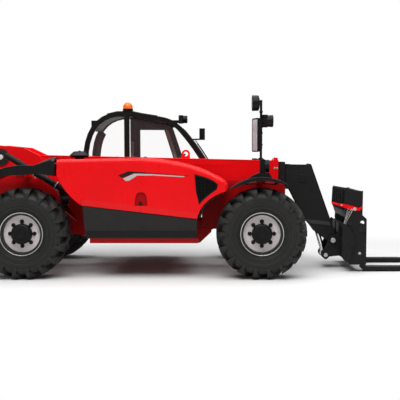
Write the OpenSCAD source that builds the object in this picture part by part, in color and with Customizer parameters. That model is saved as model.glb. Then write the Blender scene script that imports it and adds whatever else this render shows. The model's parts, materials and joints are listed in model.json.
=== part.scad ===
// Telehandler with a side engine, a left cab and a three-section boom carrying forks.
// Millimetres. +X is forward, +Y is the machine's left, +Z is up, the ground is z = 0.

/* [Wheels] */
// distance between the axles
wheelbase = 2690; // [2500:10:2900]
// overall width across the tyres
overall_width = 1990; // [1940:10:2080]
// tyre diameter over the lug tips
tyre_diameter = 1024; // [990:2:1040]
// tyre width
tyre_width = 400; // [370:5:410]
// rim bead seat radius
bead_radius = 228; // [215:1:240]

/* [Boom] */
// outer boom width
boom_width = 300; // [280:2:304]
// outer boom height
boom_height = 341; // [325:1:350]
// boom plate thickness
boom_wall = 12; // [9:1:14]
// downward slope of the lowered boom in degrees
boom_slope = 1.3; // [0.8:0.1:1.6]
// gap between nested boom sections
boom_gap = 8; // [6:0.5:10]

/* [Forks] */
// fork blade length from the shank's front face
fork_length = 1212; // [1000:10:1400]
// fork blade width
fork_width = 124; // [100:2:126]
// fork blade thickness
fork_thick = 45; // [40:1:50]
// distance of each fork's middle from the machine's middle
fork_offset = 340; // [250:5:342]

/* [Cab] */
// outer face of the cab's right wall
cab_right = 190; // [185:1:210]
// outer face of the cab's left wall
cab_left = 930; // [900:5:940]
// cab wall thickness
cab_wall = 50; // [42:1:58]
// gap round the door
door_gap = 8; // [5:0.5:10]

/* [Body] */
// outer face of the hood
hood_outer = 920; // [890:5:935]
// hood skin thickness
hood_skin = 18; // [12:1:20]
// chassis plate thickness
plate = 50; // [40:1:55]
// radial running gap on pins and rods
pin_gap = 0.05; // [0.03:0.01:0.08]

/* [Hidden] */
$fn = 48;
// sizes the outlines were drawn at
drawn_base = 2690;
drawn_front = 497;
drawn_fork = 1212;
axle_z = tyre_diameter / 2;
lift_up = axle_z - 512;
// keeps the middle of the whole length at x = 0
shift = (wheelbase - drawn_base - (fork_length - drawn_fork)) / 2;
front_x = drawn_front + shift;
rear_x = front_x - wheelbase;
half_width = overall_width / 2;
wheel_y = half_width - tyre_width / 2;
king_y = wheel_y - 235;
fender_out = half_width - 15;
fender_in = half_width - 395;
lamp_y = half_width - 210;
rail_out = 285;
rail_in = rail_out - plate;
tower_in = boom_width / 2 + 15;
exhaust_y = (rail_out + fender_in) / 2;
rim_half = 165;
flange = 12;
bead_half = rim_half - flange;
disc_in = 90;
disc_out = 112;
hub_bore = 55;
pivot_pin = 45;
anchor_pin = 35;
tilt_pin = 30;
upper_pin = 25;
king_pin = 24;
hinge_pin = 8;
eye_r = 14;

// stretches a drawn length position with the wheelbase
function along(x) =
    x >= drawn_front ? x + shift :
    x <= drawn_front - drawn_base ? x + drawn_base - wheelbase + shift :
    front_x + (x - drawn_front) * wheelbase / drawn_base;
// follows the axle height
function up(z) = z + lift_up;
function drawn(points) = [for (p = points) [along(p[0]), up(p[1])]];
// curve from a towards c, pulled to b; c itself starts the next stretch
function bend(a, b, c, n = 6) =
    [for (i = [0 : n - 1]) let (t = i / n) pow(1 - t, 2) * a + 2 * t * (1 - t) * b + t * t * c];
// clockwise outline moved inwards by d
function right_of(a, b) = [b[1] - a[1], a[0] - b[0]] / norm(b - a);
function inset(points, d) =
    let (n = len(points))
    [for (i = [0 : n - 1])
        let (u = right_of(points[(i + n - 1) % n], points[i]), v = right_of(points[i], points[(i + 1) % n]))
        points[i] + d * (u + v) / (1 + u * v)];

// flat side outline between two lateral positions
module slab(points, y0, y1) {
    translate([0, y1, 0])
        rotate([90, 0, 0])
            linear_extrude(height = y1 - y0)
                polygon(drawn(points));
}
// round bar across the machine
module bar(x, z, r, y0, y1) {
    translate([along(x), y1, up(z)])
        rotate([90, 0, 0])
            cylinder(r = r, h = y1 - y0);
}
module block(x0, x1, y0, y1, z0, z1) {
    translate([along(x0), y0, up(z0)])
        cube([along(x1) - along(x0), y1 - y0, z1 - z0]);
}
module both() {
    children();
    mirror([0, 1, 0])
        children();
}
// follows the tyre's top
module raised() {
    translate([0, 0, lift_up])
        children();
}
// upright round post
module post(x, y, r, z0, z1) {
    translate([along(x), y, up(z0)])
        cylinder(r = r, h = z1 - z0);
}
// round bar between two drawn side positions
module strut(x0, z0, x1, z1, r, s0, s1) {
    turn = atan2(along(x1) - along(x0), z1 - z0);
    translate([along(x0), 0, up(z0)])
        rotate([0, turn, 0])
            translate([0, 0, s0])
                cylinder(r = r, h = s1 - s0);
}

// main frame
module rail_plate() {
    difference() {
        slab([[-2760, 470], [-2760, 760], [-1900, 760], [-1700, 590], [-185, 590], [-185, 830],
              [-60, 970], [120, 1093], [760, 1093], [820, 1010], [820, 560], [760, 500], [-46, 500],
              [-216, 404], [-1437, 404], [-1990, 470]], rail_in, rail_out);
        block(367, 627, 0, 400, 300, 640);
        block(-2323, -2063, 0, 400, 300, 640);
    }
}
module tower_plate() {
    slab([[-2800, 470], [-2800, 1430], [-2720, 1500], [-2641, 1507], [-2342, 1478], [-2150, 1385],
          [-1950, 1000], [-1880, 700], [-2040, 640], [-2340, 640], [-2360, 470]],
         tower_in, rail_in);
    bar(-2611, 1367, 85, rail_in - 1, rail_in + 14);
}
module anchor_ear() {
    slab([[-2270, 720], [-2210, 850], [-2150, 870], [-2090, 850], [-2030, 720]], 72, 102);
}
module chassis() {
    color([0.85, 0.05, 0.07]) {
        both() {
            rail_plate();
            tower_plate();
            anchor_ear();
            block(450, 550, rail_in, rail_out + 25, 950, 1108 + lift_up);
            raised() {
                block(450, 550, rail_out - 5, fender_in + 60, 1062, 1108);
                block(-2325, -2245, rail_in - 5, fender_in + 60, 1130, 1170);
            }
        }
        block(-1437, -216, -rail_out, rail_out, 404, 424);
        block(730, 770, -rail_out, rail_out, 520, 950);
        block(-260, -230, -rail_out, rail_out, 410, 590);
        block(-1640, -1610, -rail_out, rail_out, 410, 590);
        block(-2300, -2000, -rail_in, rail_in, 695, 730);
        block(-2800, -2760, -rail_out, rail_out, 470, 960);
        bar(-2611, 1367, pivot_pin, -rail_in, rail_in);
        bar(-2150, 800, anchor_pin, -102, 102);
    }
}

// sills beside the main frame, cab mounts and the wall that carries the hood hinges
sill_in = 850;
sill_out = 900;
wall_in = rail_out - 23;
hood_hinge_y = 274;
hood_hinge_z = 1330;
module sill() {
    block(-1437, -216, sill_in, sill_out, 404, 456);
    for (x = [-1400, -860, -330])
        block(x, x + 60, rail_out, sill_in + 5, 404, 456);
}
module hinge_stand(x) {
    block(x - 70, x - 50, -rail_out, -wall_in, 1280, 1342);
    block(x + 50, x + 70, -rail_out, -wall_in, 1280, 1342);
    translate([along(x - 60), -hood_hinge_y, up(hood_hinge_z)])
        rotate([0, 90, 0])
            cylinder(r = hinge_pin, h = along(x + 60) - along(x - 60));
}
module side_frame() {
    color([0.8, 0.05, 0.07]) {
        both()
            sill();
        for (x = [-1380, -320], y = [300, 600])
            block(x, x + 60, y, y + 60, 450, 600);
        slab([[-1690, 590], [-1790, 760], [-1790, 1290], [-600, 1300], [-430, 1265], [-260, 1215],
              [-140, 1150], [-90, 1050], [-110, 960], [-230, 790], [-340, 590]], -rail_out, -wall_in);
        hinge_stand(-1400);
        hinge_stand(-700);
    }
}

module counterweight() {
    color([0.13, 0.13, 0.14]) {
        difference() {
            union() {
                translate([0, 0, up(520)])
                    linear_extrude(height = 490)
                        polygon([[along(-2800), -300], [along(-2860), -420], [along(-2890), -640],
                                 [along(-2940), -620], [along(-2940), 620], [along(-2890), 640],
                                 [along(-2860), 420], [along(-2800), 300]]);
                block(-2983, -2930, -60, 60, 540, 565);
                block(-2983, -2930, -60, 60, 615, 640);
            }
            post(-2960, 0, 14, 530, 650);
            block(-2990, -2940, -70, 70, 565, 615);
        }
    }
}

// axle beams with forked ends for the knuckles
module king_fork() {
    difference() {
        union() {
            translate([-60, king_y - 110, -140])
                cube([120, 50, 280]);
            for (z = [-140, 100]) {
                translate([-60, king_y - 70, z])
                    cube([120, 70, 40]);
                translate([0, king_y, z])
                    cylinder(r = 60, h = 40);
            }
        }
        translate([0, king_y, -200])
            cylinder(r = king_pin + pin_gap, h = 400);
    }
}
module axle_beam() {
    rotate([90, 0, 0])
        cylinder(r = 88, h = 2 * (king_y - 90), center = true);
    rotate([90, 0, 0])
        cylinder(r = 150, h = 240, center = true);
    rotate([0, 90, 0])
        cylinder(r = 95, h = 400, center = true);
    both() {
        king_fork();
        translate([-120, rail_in, 0])
            cube([240, plate, 128]);
    }
}
module axles() {
    color([0.16, 0.16, 0.17])
        for (x = [front_x, rear_x])
            translate([x, 0, axle_z])
                axle_beam();
}

// steering knuckle on the right side of an axle
module knuckle() {
    translate([0, -king_y, -97])
        cylinder(r = 52, h = 194);
    translate([0, -king_y, -140])
        cylinder(r = king_pin, h = 280);
    translate([0, -king_y, 0])
        rotate([90, 0, 0])
            cylinder(r = hub_bore, h = wheel_y + disc_in - 1 - king_y);
    translate([0, -wheel_y + 135, 0])
        rotate([90, 0, 0])
            cylinder(r = 115, h = 40);
}
module knuckle_front_right() {
    color([0.2, 0.2, 0.21])
        translate([front_x, 0, axle_z])
            knuckle();
}
module knuckle_front_left() {
    color([0.2, 0.2, 0.21])
        translate([front_x, 0, axle_z])
            mirror([0, 1, 0])
                knuckle();
}
module knuckle_rear_right() {
    color([0.2, 0.2, 0.21])
        translate([rear_x, 0, axle_z])
            knuckle();
}
module knuckle_rear_left() {
    color([0.2, 0.2, 0.21])
        translate([rear_x, 0, axle_z])
            mirror([0, 1, 0])
                knuckle();
}

// wheel parts turn round Y, outer side towards -Y
lug_count = 18;
module lug_row(turn, side) {
    half = side * tyre_width / 2;
    root = bead_radius + 0.74 * (tyre_diameter / 2 - bead_radius);
    for (i = [0 : lug_count - 1])
        rotate([0, 0, turn + i * 360 / lug_count])
            translate([root, 0, 0])
                rotate([90, 0, 90])
                    linear_extrude(height = tyre_diameter / 2 - root + 2)
                        polygon([[-30, half], [30, half], [146, 0.05 * half], [92, 0.05 * half]]);
}
// outline of one side, closed by its mirror image
function mirrored(points) =
    concat(points, [for (i = [len(points) - 1 : -1 : 0]) [points[i][0], -points[i][1]]]);
module tyre() {
    half = tyre_width / 2;
    tip = tyre_diameter / 2;
    section = tip - bead_radius;
    rotate([90, 0, 0]) {
        rotate_extrude($fn = 72)
            polygon(mirrored([[bead_radius, bead_half], [bead_radius + 18, bead_half],
                              [bead_radius + 0.21 * section, half - 22],
                              [bead_radius + 0.42 * section, half],
                              [bead_radius + 0.64 * section, half - 3],
                              [bead_radius + 0.76 * section, half - 24],
                              [bead_radius + 0.82 * section, half - 70]]));
        intersection() {
            rotate_extrude($fn = 72)
                polygon(mirrored([[bead_radius + 0.66 * section, half],
                                  [bead_radius + 0.86 * section, half - 10],
                                  [bead_radius + 0.96 * section, half - 46],
                                  [tip, half - 110]]));
            union() {
                lug_row(0, 1);
                lug_row(180 / lug_count, -1);
            }
        }
    }
}
module rim() {
    rotate([90, 0, 0]) {
        rotate_extrude($fn = 72)
            polygon([[bead_radius - 14, -rim_half], [bead_radius + 16, -rim_half],
                     [bead_radius + 16, -bead_half], [bead_radius - 0.3, -bead_half],
                     [bead_radius - 0.3, bead_half], [bead_radius + 16, bead_half],
                     [bead_radius + 16, rim_half], [bead_radius - 14, rim_half],
                     [bead_radius - 14, disc_out], [110, disc_out], [110, 165], [95, 178], [0, 178],
                     [0, disc_in], [hub_bore + pin_gap, disc_in], [hub_bore + pin_gap, -20], [100, -20],
                     [100, disc_in], [bead_radius - 14, disc_in]]);
    }
}
module tyre_front_right() {
    color([0.1, 0.1, 0.1])
        translate([front_x, -wheel_y, axle_z])
            tyre();
}
module tyre_front_left() {
    color([0.1, 0.1, 0.1])
        translate([front_x, wheel_y, axle_z])
            mirror([0, 1, 0])
                tyre();
}
module tyre_rear_right() {
    color([0.1, 0.1, 0.1])
        translate([rear_x, -wheel_y, axle_z])
            tyre();
}
module tyre_rear_left() {
    color([0.1, 0.1, 0.1])
        translate([rear_x, wheel_y, axle_z])
            mirror([0, 1, 0])
                tyre();
}
module rim_front_right() {
    color([0.72, 0.7, 0.7])
        translate([front_x, -wheel_y, axle_z])
            rim();
}
module rim_front_left() {
    color([0.72, 0.7, 0.7])
        translate([front_x, wheel_y, axle_z])
            mirror([0, 1, 0])
                rim();
}
module rim_rear_right() {
    color([0.72, 0.7, 0.7])
        translate([rear_x, -wheel_y, axle_z])
            rim();
}
module rim_rear_left() {
    color([0.72, 0.7, 0.7])
        translate([rear_x, wheel_y, axle_z])
            mirror([0, 1, 0])
                rim();
}

module engine_block() {
    color([0.25, 0.25, 0.26])
        block(-1400, -520, -hood_outer + 120, -rail_out, 470, 1120);
}

// lower side panel on the engine side, step and panel on the cab side
module side_panels() {
    color([0.2, 0.19, 0.19]) {
        slab([[-1515, 824], [-231, 670], [-231, 523], [-1490, 546]], -905, -880);
        slab([[-1490, 547], [-231, 524], [-240, 456], [-1470, 456]], -898, -860);
        slab([[-1490, 592], [-231, 592], [-240, 456], [-1470, 456]], sill_in + 12, sill_out);
        slab(concat(bend([52, 962], [-168, 898], [-214, 690]), [[-214, 690], [-200, 688]],
                    bend([-186, 700], [-150, 885], [60, 948])), -870, -rail_out);
        block(-1000, -640, 850, 960, 330, 350);
        block(-1000, -980, 862, 900, 330, 404);
        block(-660, -640, 862, 900, 330, 404);
    }
}

module fenders() {
    color([0.07, 0.07, 0.07])
        raised()
            both() {
                slab(concat(bend([139, 1017], [444, 1252], [774, 1067]),
                            [[774, 1067], [703, 1078], [571, 1108], [429, 1108], [297, 1074]]),
                     fender_in, fender_out);
                slab([[300, 1095], [400, 1165], [470, 1195], [580, 1195], [620, 1120], [560, 1110]],
                     lamp_y - 85, lamp_y + 85);
                slab(concat(bend([-2700, 1080], [-2420, 1290], [-2120, 1276]),
                            [[-2120, 1276], [-2051, 1273], [-1852, 1337], [-1808, 1295], [-1826, 1158],
                             [-1990, 1186], [-2190, 1170], [-2330, 1170], [-2430, 1148], [-2560, 1092],
                             [-2680, 1040]]),
                     fender_in, fender_out - 30);
            }
}

// a lamp body with a round front
module lamp(x0, x1, x2, wide, z0, z1) {
    block(x0, x1, -wide, wide, z0, z1);
    translate([along(x1) - 10, 0, up((z0 + z1) / 2)])
        rotate([0, 90, 0])
            cylinder(r = (z1 - z0) / 2 - 4, h = x2 - x1 + 10);
}
// headlamps, mast lamp, roof lamps and tail lamps
module lamps() {
    color([0.06, 0.06, 0.06]) {
        raised() {
            for (y = [-lamp_y, lamp_y])
                translate([0, y, 0])
                    lamp(479, 540, 576, 52, 1195, 1342);
            translate([0, -lamp_y, 0])
                lamp(504, 560, 618, 58, 1705, 1845);
        }
        both()
            block(-2962, -2940, 470, 590, 900, 985);
        translate([0, 520, 0])
            lamp(-498, -440, -393, 75, 1800, 1905);
        difference() {
            union() {
                block(-600, -480, 490, 550, 1805, 1842);
                block(-1610, -1545, 320, 420, 1740, 1830);
            }
            slab(cab_outer, cab_right, cab_left);
        }
    }
}

// mirror mast on the right, mirror on the left front cab post
mirror_turn = 14;
module mirrors() {
    color([0.05, 0.05, 0.05]) {
        raised()
            translate([0, -lamp_y, 0]) {
                post(490, 0, 14, 1342, 2000);
                translate([along(490), 0, 0])
                    rotate([0, 0, mirror_turn])
                        translate([-along(490), 0, 0])
                            block(420, 470, -105, 105, 1430, 1805);
                translate([along(398), 0, up(1976)])
                    rotate([0, 90, 0])
                        cylinder(r = 87, h = 56);
                translate([along(440), 0, up(1976)])
                    rotate([0, 90, 0])
                        cylinder(r = 18, h = 50);
                block(455, 495, -15, 15, 1500, 1520);
                block(455, 495, -15, 15, 1700, 1720);
            }
        block(-234, -160, cab_left - 115, cab_left + 55, 1592, 1747);
        difference() {
            slab([[-350, 1588], [-200, 1592], [-200, 1612], [-366, 1607]], cab_left - 40, cab_left - 10);
            slab(cab_outer, cab_right, cab_left);
        }
    }
}

module exhaust_pipes() {
    color([0.08, 0.08, 0.08]) {
        translate([0, -exhaust_y, 0]) {
            difference() {
                strut(-1742, 934, -2493, 1392, 36, 0, 880);
                strut(-1742, 934, -2493, 1392, 29, 600, 900);
            }
            strut(-1742, 934, -2493, 1392, 46, 180, 200);
            strut(-1742, 934, -2493, 1392, 46, 470, 490);
        }
        block(-2160, -2120, -exhaust_y, -rail_in, 1150, 1190);
    }
}

// side outline of the cab; its inside and its windows follow it
cab_outer = concat([[-1500, 600], [-1520, 700], [-1600, 853], [-1690, 960]],
                   bend([-1700, 1300], [-1695, 1872], [-1270, 1935], 8),
                   [[-1270, 1935], [-1070, 1935], [-946, 1909]],
                   bend([-719, 1875], [-540, 1850], [-436, 1727]),
                   bend([-436, 1727], [-230, 1490], [-95, 1240]),
                   [[-95, 1240], [-110, 1100], [-200, 960], [-200, 600]]);
cab_floor = 600 + cab_wall;
window_edge = cab_wall + 12;
door_hole = [[-1110, cab_floor], [-1110, 1790], [-660, 1790], [-490, 1255], [-420, 1000], [-400, cab_floor]];
door_window = [[-1050, 1010], [-1050, 1730], [-708, 1730], [-555, 1250], [-492, 1010]];
door_light = [[-1050, 710], [-1050, 950], [-482, 950], [-462, 710]];
quarter_side = [[-598, 1760], [-430, 1255], [-365, 1010], [0, 1010], [0, 1760]];
pane_thick = 8;
side_pane = 3;
split_low = 1000;
split_high = 1800;
screen_side = 70;
screen_low = 1012;

// side windows: behind the door, facing the boom, and ahead of the door
module rear_window(y0, y1) {
    intersection() {
        slab(inset(cab_outer, window_edge), y0, y1);
        block(-1700, -1175, y0 - 1, y1 + 1, 1010, 1900);
    }
}
module right_window(y0, y1) {
    intersection() {
        slab(inset(cab_outer, window_edge), y0, y1);
        block(-1110, 0, y0 - 1, y1 + 1, 1010, 1900);
    }
}
module quarter_window(y0, y1) {
    intersection() {
        slab(inset(cab_outer, window_edge), y0, y1);
        slab(quarter_side, y0 - 1, y1 + 1);
    }
}
module screen_space(x0, x1, top) {
    block(x0, x1, cab_right + screen_side, cab_left - screen_side, screen_low, top);
}
module cab_shell() {
    difference() {
        slab(cab_outer, cab_right, cab_left);
        slab(inset(cab_outer, cab_wall), cab_right + cab_wall, cab_left - cab_wall);
        rear_window(cab_right - 1, cab_left + 1);
        right_window(cab_right - 1, cab_right + cab_wall + 1);
        quarter_window(cab_left - cab_wall - 1, cab_left + 1);
        slab(door_hole, cab_left - cab_wall - 1, cab_left + 1);
        screen_space(-500, 0, 1740);
        screen_space(-1720, -1530, 1700);
    }
}
module cab_base() {
    color([0.12, 0.12, 0.12])
        intersection() {
            cab_shell();
            block(-1800, 0, 0, 1200, 500, split_low);
        }
}
module door_hinge(z) {
    block(-1175, -1111, cab_left, cab_left + 29, z - 50, z - 32);
    block(-1175, -1111, cab_left, cab_left + 29, z + 32, z + 50);
    post(-1125, cab_left + 15, hinge_pin, z - 40, z + 40);
}
module cab_frame() {
    color([0.06, 0.06, 0.06]) {
        intersection() {
            cab_shell();
            block(-1800, 0, 0, 1200, split_low, split_high);
        }
        door_hinge(1150);
        door_hinge(1600);
    }
}
module cab_roof() {
    color([0.07, 0.07, 0.07])
        intersection() {
            cab_shell();
            block(-1800, 0, 0, 1200, split_high, 2100);
        }
}
module screen_pane(x0, x1, top) {
    depth = (cab_wall - pane_thick) / 2;
    intersection() {
        difference() {
            slab(inset(cab_outer, depth), cab_right, cab_left);
            slab(inset(cab_outer, depth + pane_thick), cab_right - 1, cab_left + 1);
        }
        screen_space(x0, x1, top);
    }
}
module cab_glass() {
    right = cab_right + cab_wall / 2;
    left = cab_left - cab_wall / 2;
    color([0.75, 0.8, 0.8, 0.3]) {
        rear_window(right - side_pane, right + side_pane);
        rear_window(left - side_pane, left + side_pane);
        right_window(right - side_pane, right + side_pane);
        quarter_window(left - side_pane, left + side_pane);
        screen_pane(-500, 0, 1740);
        screen_pane(-1720, -1530, 1700);
    }
}

module door() {
    color([0.06, 0.06, 0.06]) {
        difference() {
            slab(inset(door_hole, door_gap), cab_left - cab_wall, cab_left);
            slab(door_window, cab_left - cab_wall - 1, cab_left + 1);
            slab(door_light, cab_left - cab_wall - 1, cab_left + 1);
        }
        door_eye(1150);
        door_eye(1600);
        block(-545, -515, cab_left - 1, cab_left + 30, 1040, 1180);
    }
}
module door_eye(z) {
    difference() {
        union() {
            post(-1125, cab_left + 15, eye_r, z - 30, z + 30);
            block(-1125, -1070, cab_left + 1, cab_left + 22, z - 30, z + 30);
            block(-1100, -1070, cab_left - 1, cab_left + 22, z - 30, z + 30);
        }
        post(-1125, cab_left + 15, hinge_pin + pin_gap, z - 60, z + 60);
    }
}
module door_glass() {
    middle = cab_left - cab_wall / 2;
    color([0.75, 0.8, 0.8, 0.3]) {
        slab(door_window, middle - side_pane, middle + side_pane);
        slab(door_light, middle - side_pane, middle + side_pane);
    }
}

module seat() {
    color([0.1, 0.1, 0.1]) {
        block(-1310, -1010, 440, 720, cab_floor, 850);
        block(-1350, -900, 370, 790, 840, 950);
        slab([[-1370, 900], [-1250, 900], [-1300, 1390], [-1390, 1390]], 390, 770);
    }
}
module controls() {
    color([0.08, 0.08, 0.08]) {
        slab([[-265, 985], [-265, cab_floor], [-400, cab_floor], [-460, 1050], [-410, 1170], [-230, 1190],
              [-185, 1110]], 300, 800);
        translate([0, 560, 0]) {
            strut(-400, 1080, -560, 1290, 22, 0, 262);
            translate([along(-560), 0, up(1290)])
                rotate([0, -37, 0])
                    wheel_ring();
        }
        block(-1150, -880, 270, 340, cab_floor, 1130);
        post(-920, 305, 12, 1125, 1290);
        post(-920, 305, 24, 1270, 1330);
    }
}
module wheel_ring() {
    rotate_extrude()
        translate([170, 0])
            circle(r = 14, $fn = 20);
    for (a = [0, 120, 240])
        rotate([0, 90, a])
            cylinder(r = 9, h = 168);
    translate([0, 0, -12])
        cylinder(r = 36, h = 24);
}
module beacon() {
    color([1, 0.42, 0.06]) {
        block(-1210, -1075, 250, 350, 1935, 1950);
        post(-1138, 300, 50, 1945, 1977);
        translate([along(-1138), 300, up(1975)])
            rotate_extrude()
                polygon(concat([[0, 0], [60, 0]], bend([60, 10], [58, 84], [0, 84], 8), [[0, 84]]));
    }
}

// lowest point of the hood's nose
nose = [105, 991];
// top of the hood from the side, where the shoulder is rounded
hood_top = concat([[-1795, 1342]],
                  bend([-839, 1359], [-310, 1328], [0, 1150]),
                  bend([0, 1150], [167, 1080], nose));
// whole outline, drawn on below the hood's edge and cut there
hood_side = concat([[-1478, 768]], bend([-1528, 834], [-1718, 967], [-1795, 1172], 8),
                   [[-1795, 1172]], hood_top,
                   bend(nose, [-177, 915], [-231, 679], 8),
                   [[-231, 679], [-226, 600]]);
hood_edge = [[-1540, 832], [-225, 678], [-200, 560], [-1540, 560]];
edge_slope = atan2(832 - 678, 1540 - 225);
grille_hole = concat(bend([-260, 1183], [-40, 1130], [4, 1064], 4), [[4, 1064]],
                     bend([-6, 1016], [-170, 905], [-207, 836], 4), [[-207, 836], [-244, 994]]);
latch_hole = concat([[-930, 826]], bend([-918, 925], [-905, 985], [-856, 980], 4),
                    bend([-856, 980], [-806, 985], [-794, 925], 4), [[-794, 925], [-784, 826]]);
hood_inner = 292;
flare = 8;
flare_wide = 75;
tuck_high = 70;
tuck_deep = 10;
latch_deep = 11;
// neighbouring cuts differ in radius, so that four faces never meet in one point
shoulder_even = 43;
shoulder_odd = 47;

// raised band along the rear arch
module hood_flare() {
    difference() {
        intersection() {
            slab(hood_side, -hood_outer - flare, -hood_outer + 1);
            block(-1800, -1440, -hood_outer - 50, 0, 760, 1240);
        }
        slab(inset(hood_side, flare_wide), -hood_outer - flare - 1, -hood_outer + 2);
    }
}
// what rounding takes off the shoulder between two points of the top
module shoulder_cut(a, b, r) {
    over = 20;
    translate([along(a[0]), -hood_outer, up(a[1])])
        rotate([0, -atan2(b[1] - a[1], along(b[0]) - along(a[0])), 0])
            translate([-over, 0, 0])
                rotate([90, 0, 90])
                    linear_extrude(height = norm(b - a) + 2 * over)
                        polygon(concat([[-over, -r], [-over, over], [r, over]],
                                       [for (t = [90 : 22.5 : 180]) r * [1 + cos(t), sin(t) - 1]]));
}
// slope that tucks the lower edge in
module hood_tuck() {
    translate([along(-1540), 0, up(832)])
        rotate([0, edge_slope, 0])
            rotate([90, 0, 90])
                linear_extrude(height = along(0) - along(-1540))
                    polygon([[-hood_outer, tuck_high],
                             [-hood_outer + tuck_deep, 0],
                             [-hood_outer + tuck_deep, -60],
                             [-hood_outer - 50, -60],
                             [-hood_outer - 50, tuck_high]]);
}
module hood() {
    color([0.9, 0.06, 0.08]) {
        difference() {
            union() {
                slab(hood_side, -hood_outer, -hood_inner);
                hood_flare();
            }
            slab(inset(hood_side, hood_skin), -hood_outer + hood_skin, 0);
            slab(hood_edge, -hood_outer - 50, 0);
            hood_tuck();
            slab(grille_hole, -hood_outer - 5, -hood_outer + hood_skin + 1);
            slab(latch_hole, -hood_outer - 5, -hood_outer + latch_deep);
            for (i = [0 : len(hood_top) - 1])
                shoulder_cut(hood_top[i], i < len(hood_top) - 1 ? hood_top[i + 1] : nose,
                             i % 2 == 0 ? shoulder_even : shoulder_odd);
        }
        hood_eye(-1400);
        hood_eye(-700);
    }
}
module hood_eye(x) {
    difference() {
        union() {
            translate([along(x - 45), -hood_hinge_y, up(hood_hinge_z)])
                rotate([0, 90, 0])
                    cylinder(r = eye_r, h = 90);
            block(x - 45, x + 45, -hood_inner - 30, -hood_hinge_y, hood_hinge_z + 1, hood_hinge_z + 12);
        }
        translate([along(x - 80), -hood_hinge_y, up(hood_hinge_z)])
            rotate([0, 90, 0])
                cylinder(r = hinge_pin + pin_gap, h = 160);
    }
}
module hood_grille() {
    color([0.05, 0.05, 0.05])
        difference() {
            slab(grille_hole, -hood_outer + 5, -hood_outer + hood_skin);
            intersection() {
                slab(inset(grille_hole, 16), -hood_outer, -hood_outer + hood_skin + 5);
                for (z = [860 : 26 : 1170])
                    block(-300, 50, -hood_outer, -hood_outer + hood_skin + 5, z, z + 16);
            }
        }
}
module pre_cleaner() {
    color([0.06, 0.06, 0.06])
        difference() {
            union() {
                post(-1596, -600, 54, 1330, 1380);
                translate([along(-1596), -600, up(1376)])
                    cylinder(r1 = 100, r2 = 116, h = 14);
                translate([along(-1596), -600, up(1389)])
                    cylinder(r1 = 116, r2 = 70, h = 40);
            }
            slab(hood_side, -hood_outer, -hood_inner);
        }
}

// boom sections are drawn from the pivot along the boom
module at_boom() {
    translate([along(-2611), 0, up(1367)])
        rotate([0, boom_slope, 0])
            children();
}
boom_top = 29;
boom_end = along(749) - along(-2611);
boom_mid_z = boom_top - boom_height / 2;
tube_half = boom_width / 2;
second_half = tube_half - boom_wall - boom_gap;
third_half = second_half - boom_wall + 2 - boom_gap;
second_high = boom_height - 2 * boom_wall - 2 * boom_gap;
third_high = second_high - 2 * boom_wall + 4 - 2 * boom_gap;
pad = boom_gap - 0.5;

module beam(points, half) {
    translate([0, half, 0])
        rotate([90, 0, 0])
            linear_extrude(height = 2 * half)
                polygon(points);
}
module tube(x0, x1, half, high, wall) {
    difference() {
        translate([x0, -half, boom_mid_z - high / 2])
            cube([x1 - x0, 2 * half, high]);
        translate([x0 - 1, -half + wall, boom_mid_z - high / 2 + wall])
            cube([x1 - x0 + 2, 2 * half - 2 * wall, high - 2 * wall]);
    }
}
module wear_pads(x0, x1, half, high) {
    for (s = [-1, 1]) {
        translate([x0, -half / 2, boom_mid_z + s * (high / 2 - pad / 2) - pad / 2])
            cube([x1 - x0, half, pad]);
        translate([x0, s * (half - pad / 2) - pad / 2, boom_mid_z - high / 4])
            cube([x1 - x0, pad, high / 2]);
    }
}
module outer_boom() {
    low = boom_top - boom_height;
    inner = tube_half - boom_wall;
    color([0.88, 0.06, 0.08]) {
        at_boom()
            difference() {
                union() {
                    beam([[-110, -70], [-110, 10], [-80, 30], [200, boom_top], [boom_end, boom_top],
                          [boom_end, low], [480, low], [60, -200], [-40, -120]], tube_half);
                    translate([boom_end - 62, -tube_half - 8, low - 8])
                        cube([62, 2 * tube_half + 16, boom_height + 16]);
                }
                translate([240, -inner, low + boom_wall])
                    cube([boom_end, 2 * inner, boom_height - 2 * boom_wall]);
                beam([[60, -130], [230, -130], [230, 0], [60, 0]], inner);
                both()
                    translate([1100, tube_half - boom_wall / 3, low + 30])
                        cube([boom_end - 1580, boom_wall, boom_height - 100]);
                rotate([90, 0, 0])
                    cylinder(r = pivot_pin + pin_gap, h = 400, center = true);
            }
        at_boom()
            wear_pads(boom_end - 80, boom_end - 2, inner, boom_height - 2 * boom_wall);
        both() {
            slab([[-1040, 1022], [-760, 1018], [-850, 925], [-900, 905], [-950, 925]], 62, 90);
            bar(-900, 960, 30, 46, 100);
        }
        difference() {
            union() {
                bar(-388, 1403, 52, -15, 15);
                slab([[-440, 1338], [-336, 1336], [-337, 1403], [-439, 1403]], -15, 15);
            }
            bar(-388, 1403, 28, -30, 30);
        }
    }
}
module middle_boom() {
    color([0.1, 0.1, 0.1])
        at_boom() {
            tube(300, boom_end + 84, second_half, second_high, boom_wall - 2);
            difference() {
                translate([boom_end + 14, -second_half - 8, boom_mid_z - second_high / 2 - 8])
                    cube([70, 2 * second_half + 16, second_high + 16]);
                translate([boom_end, -second_half + 4, boom_mid_z - second_high / 2 + 4])
                    cube([100, 2 * second_half - 8, second_high - 8]);
            }
            wear_pads(boom_end, boom_end + 82, second_half - boom_wall + 2, second_high - 2 * boom_wall + 4);
        }
}
module head_cheek() {
    difference() {
        union() {
            slab([[840, 1272], [1114, 1267], [1140, 1283], [1150, 1270], [1380, 626], [1441, 469],
                  [1478, 365], [1424, 300], [1360, 335], [1214, 442], [1170, 503], [1076, 614], [893, 973],
                  [840, 975]], 95, 125);
            bar(1424, 345, 58, 95, 125);
            bar(1048, 1107, 49, 120, 134);
        }
        bar(1424, 345, tilt_pin + pin_gap, 80, 140);
    }
}
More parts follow.
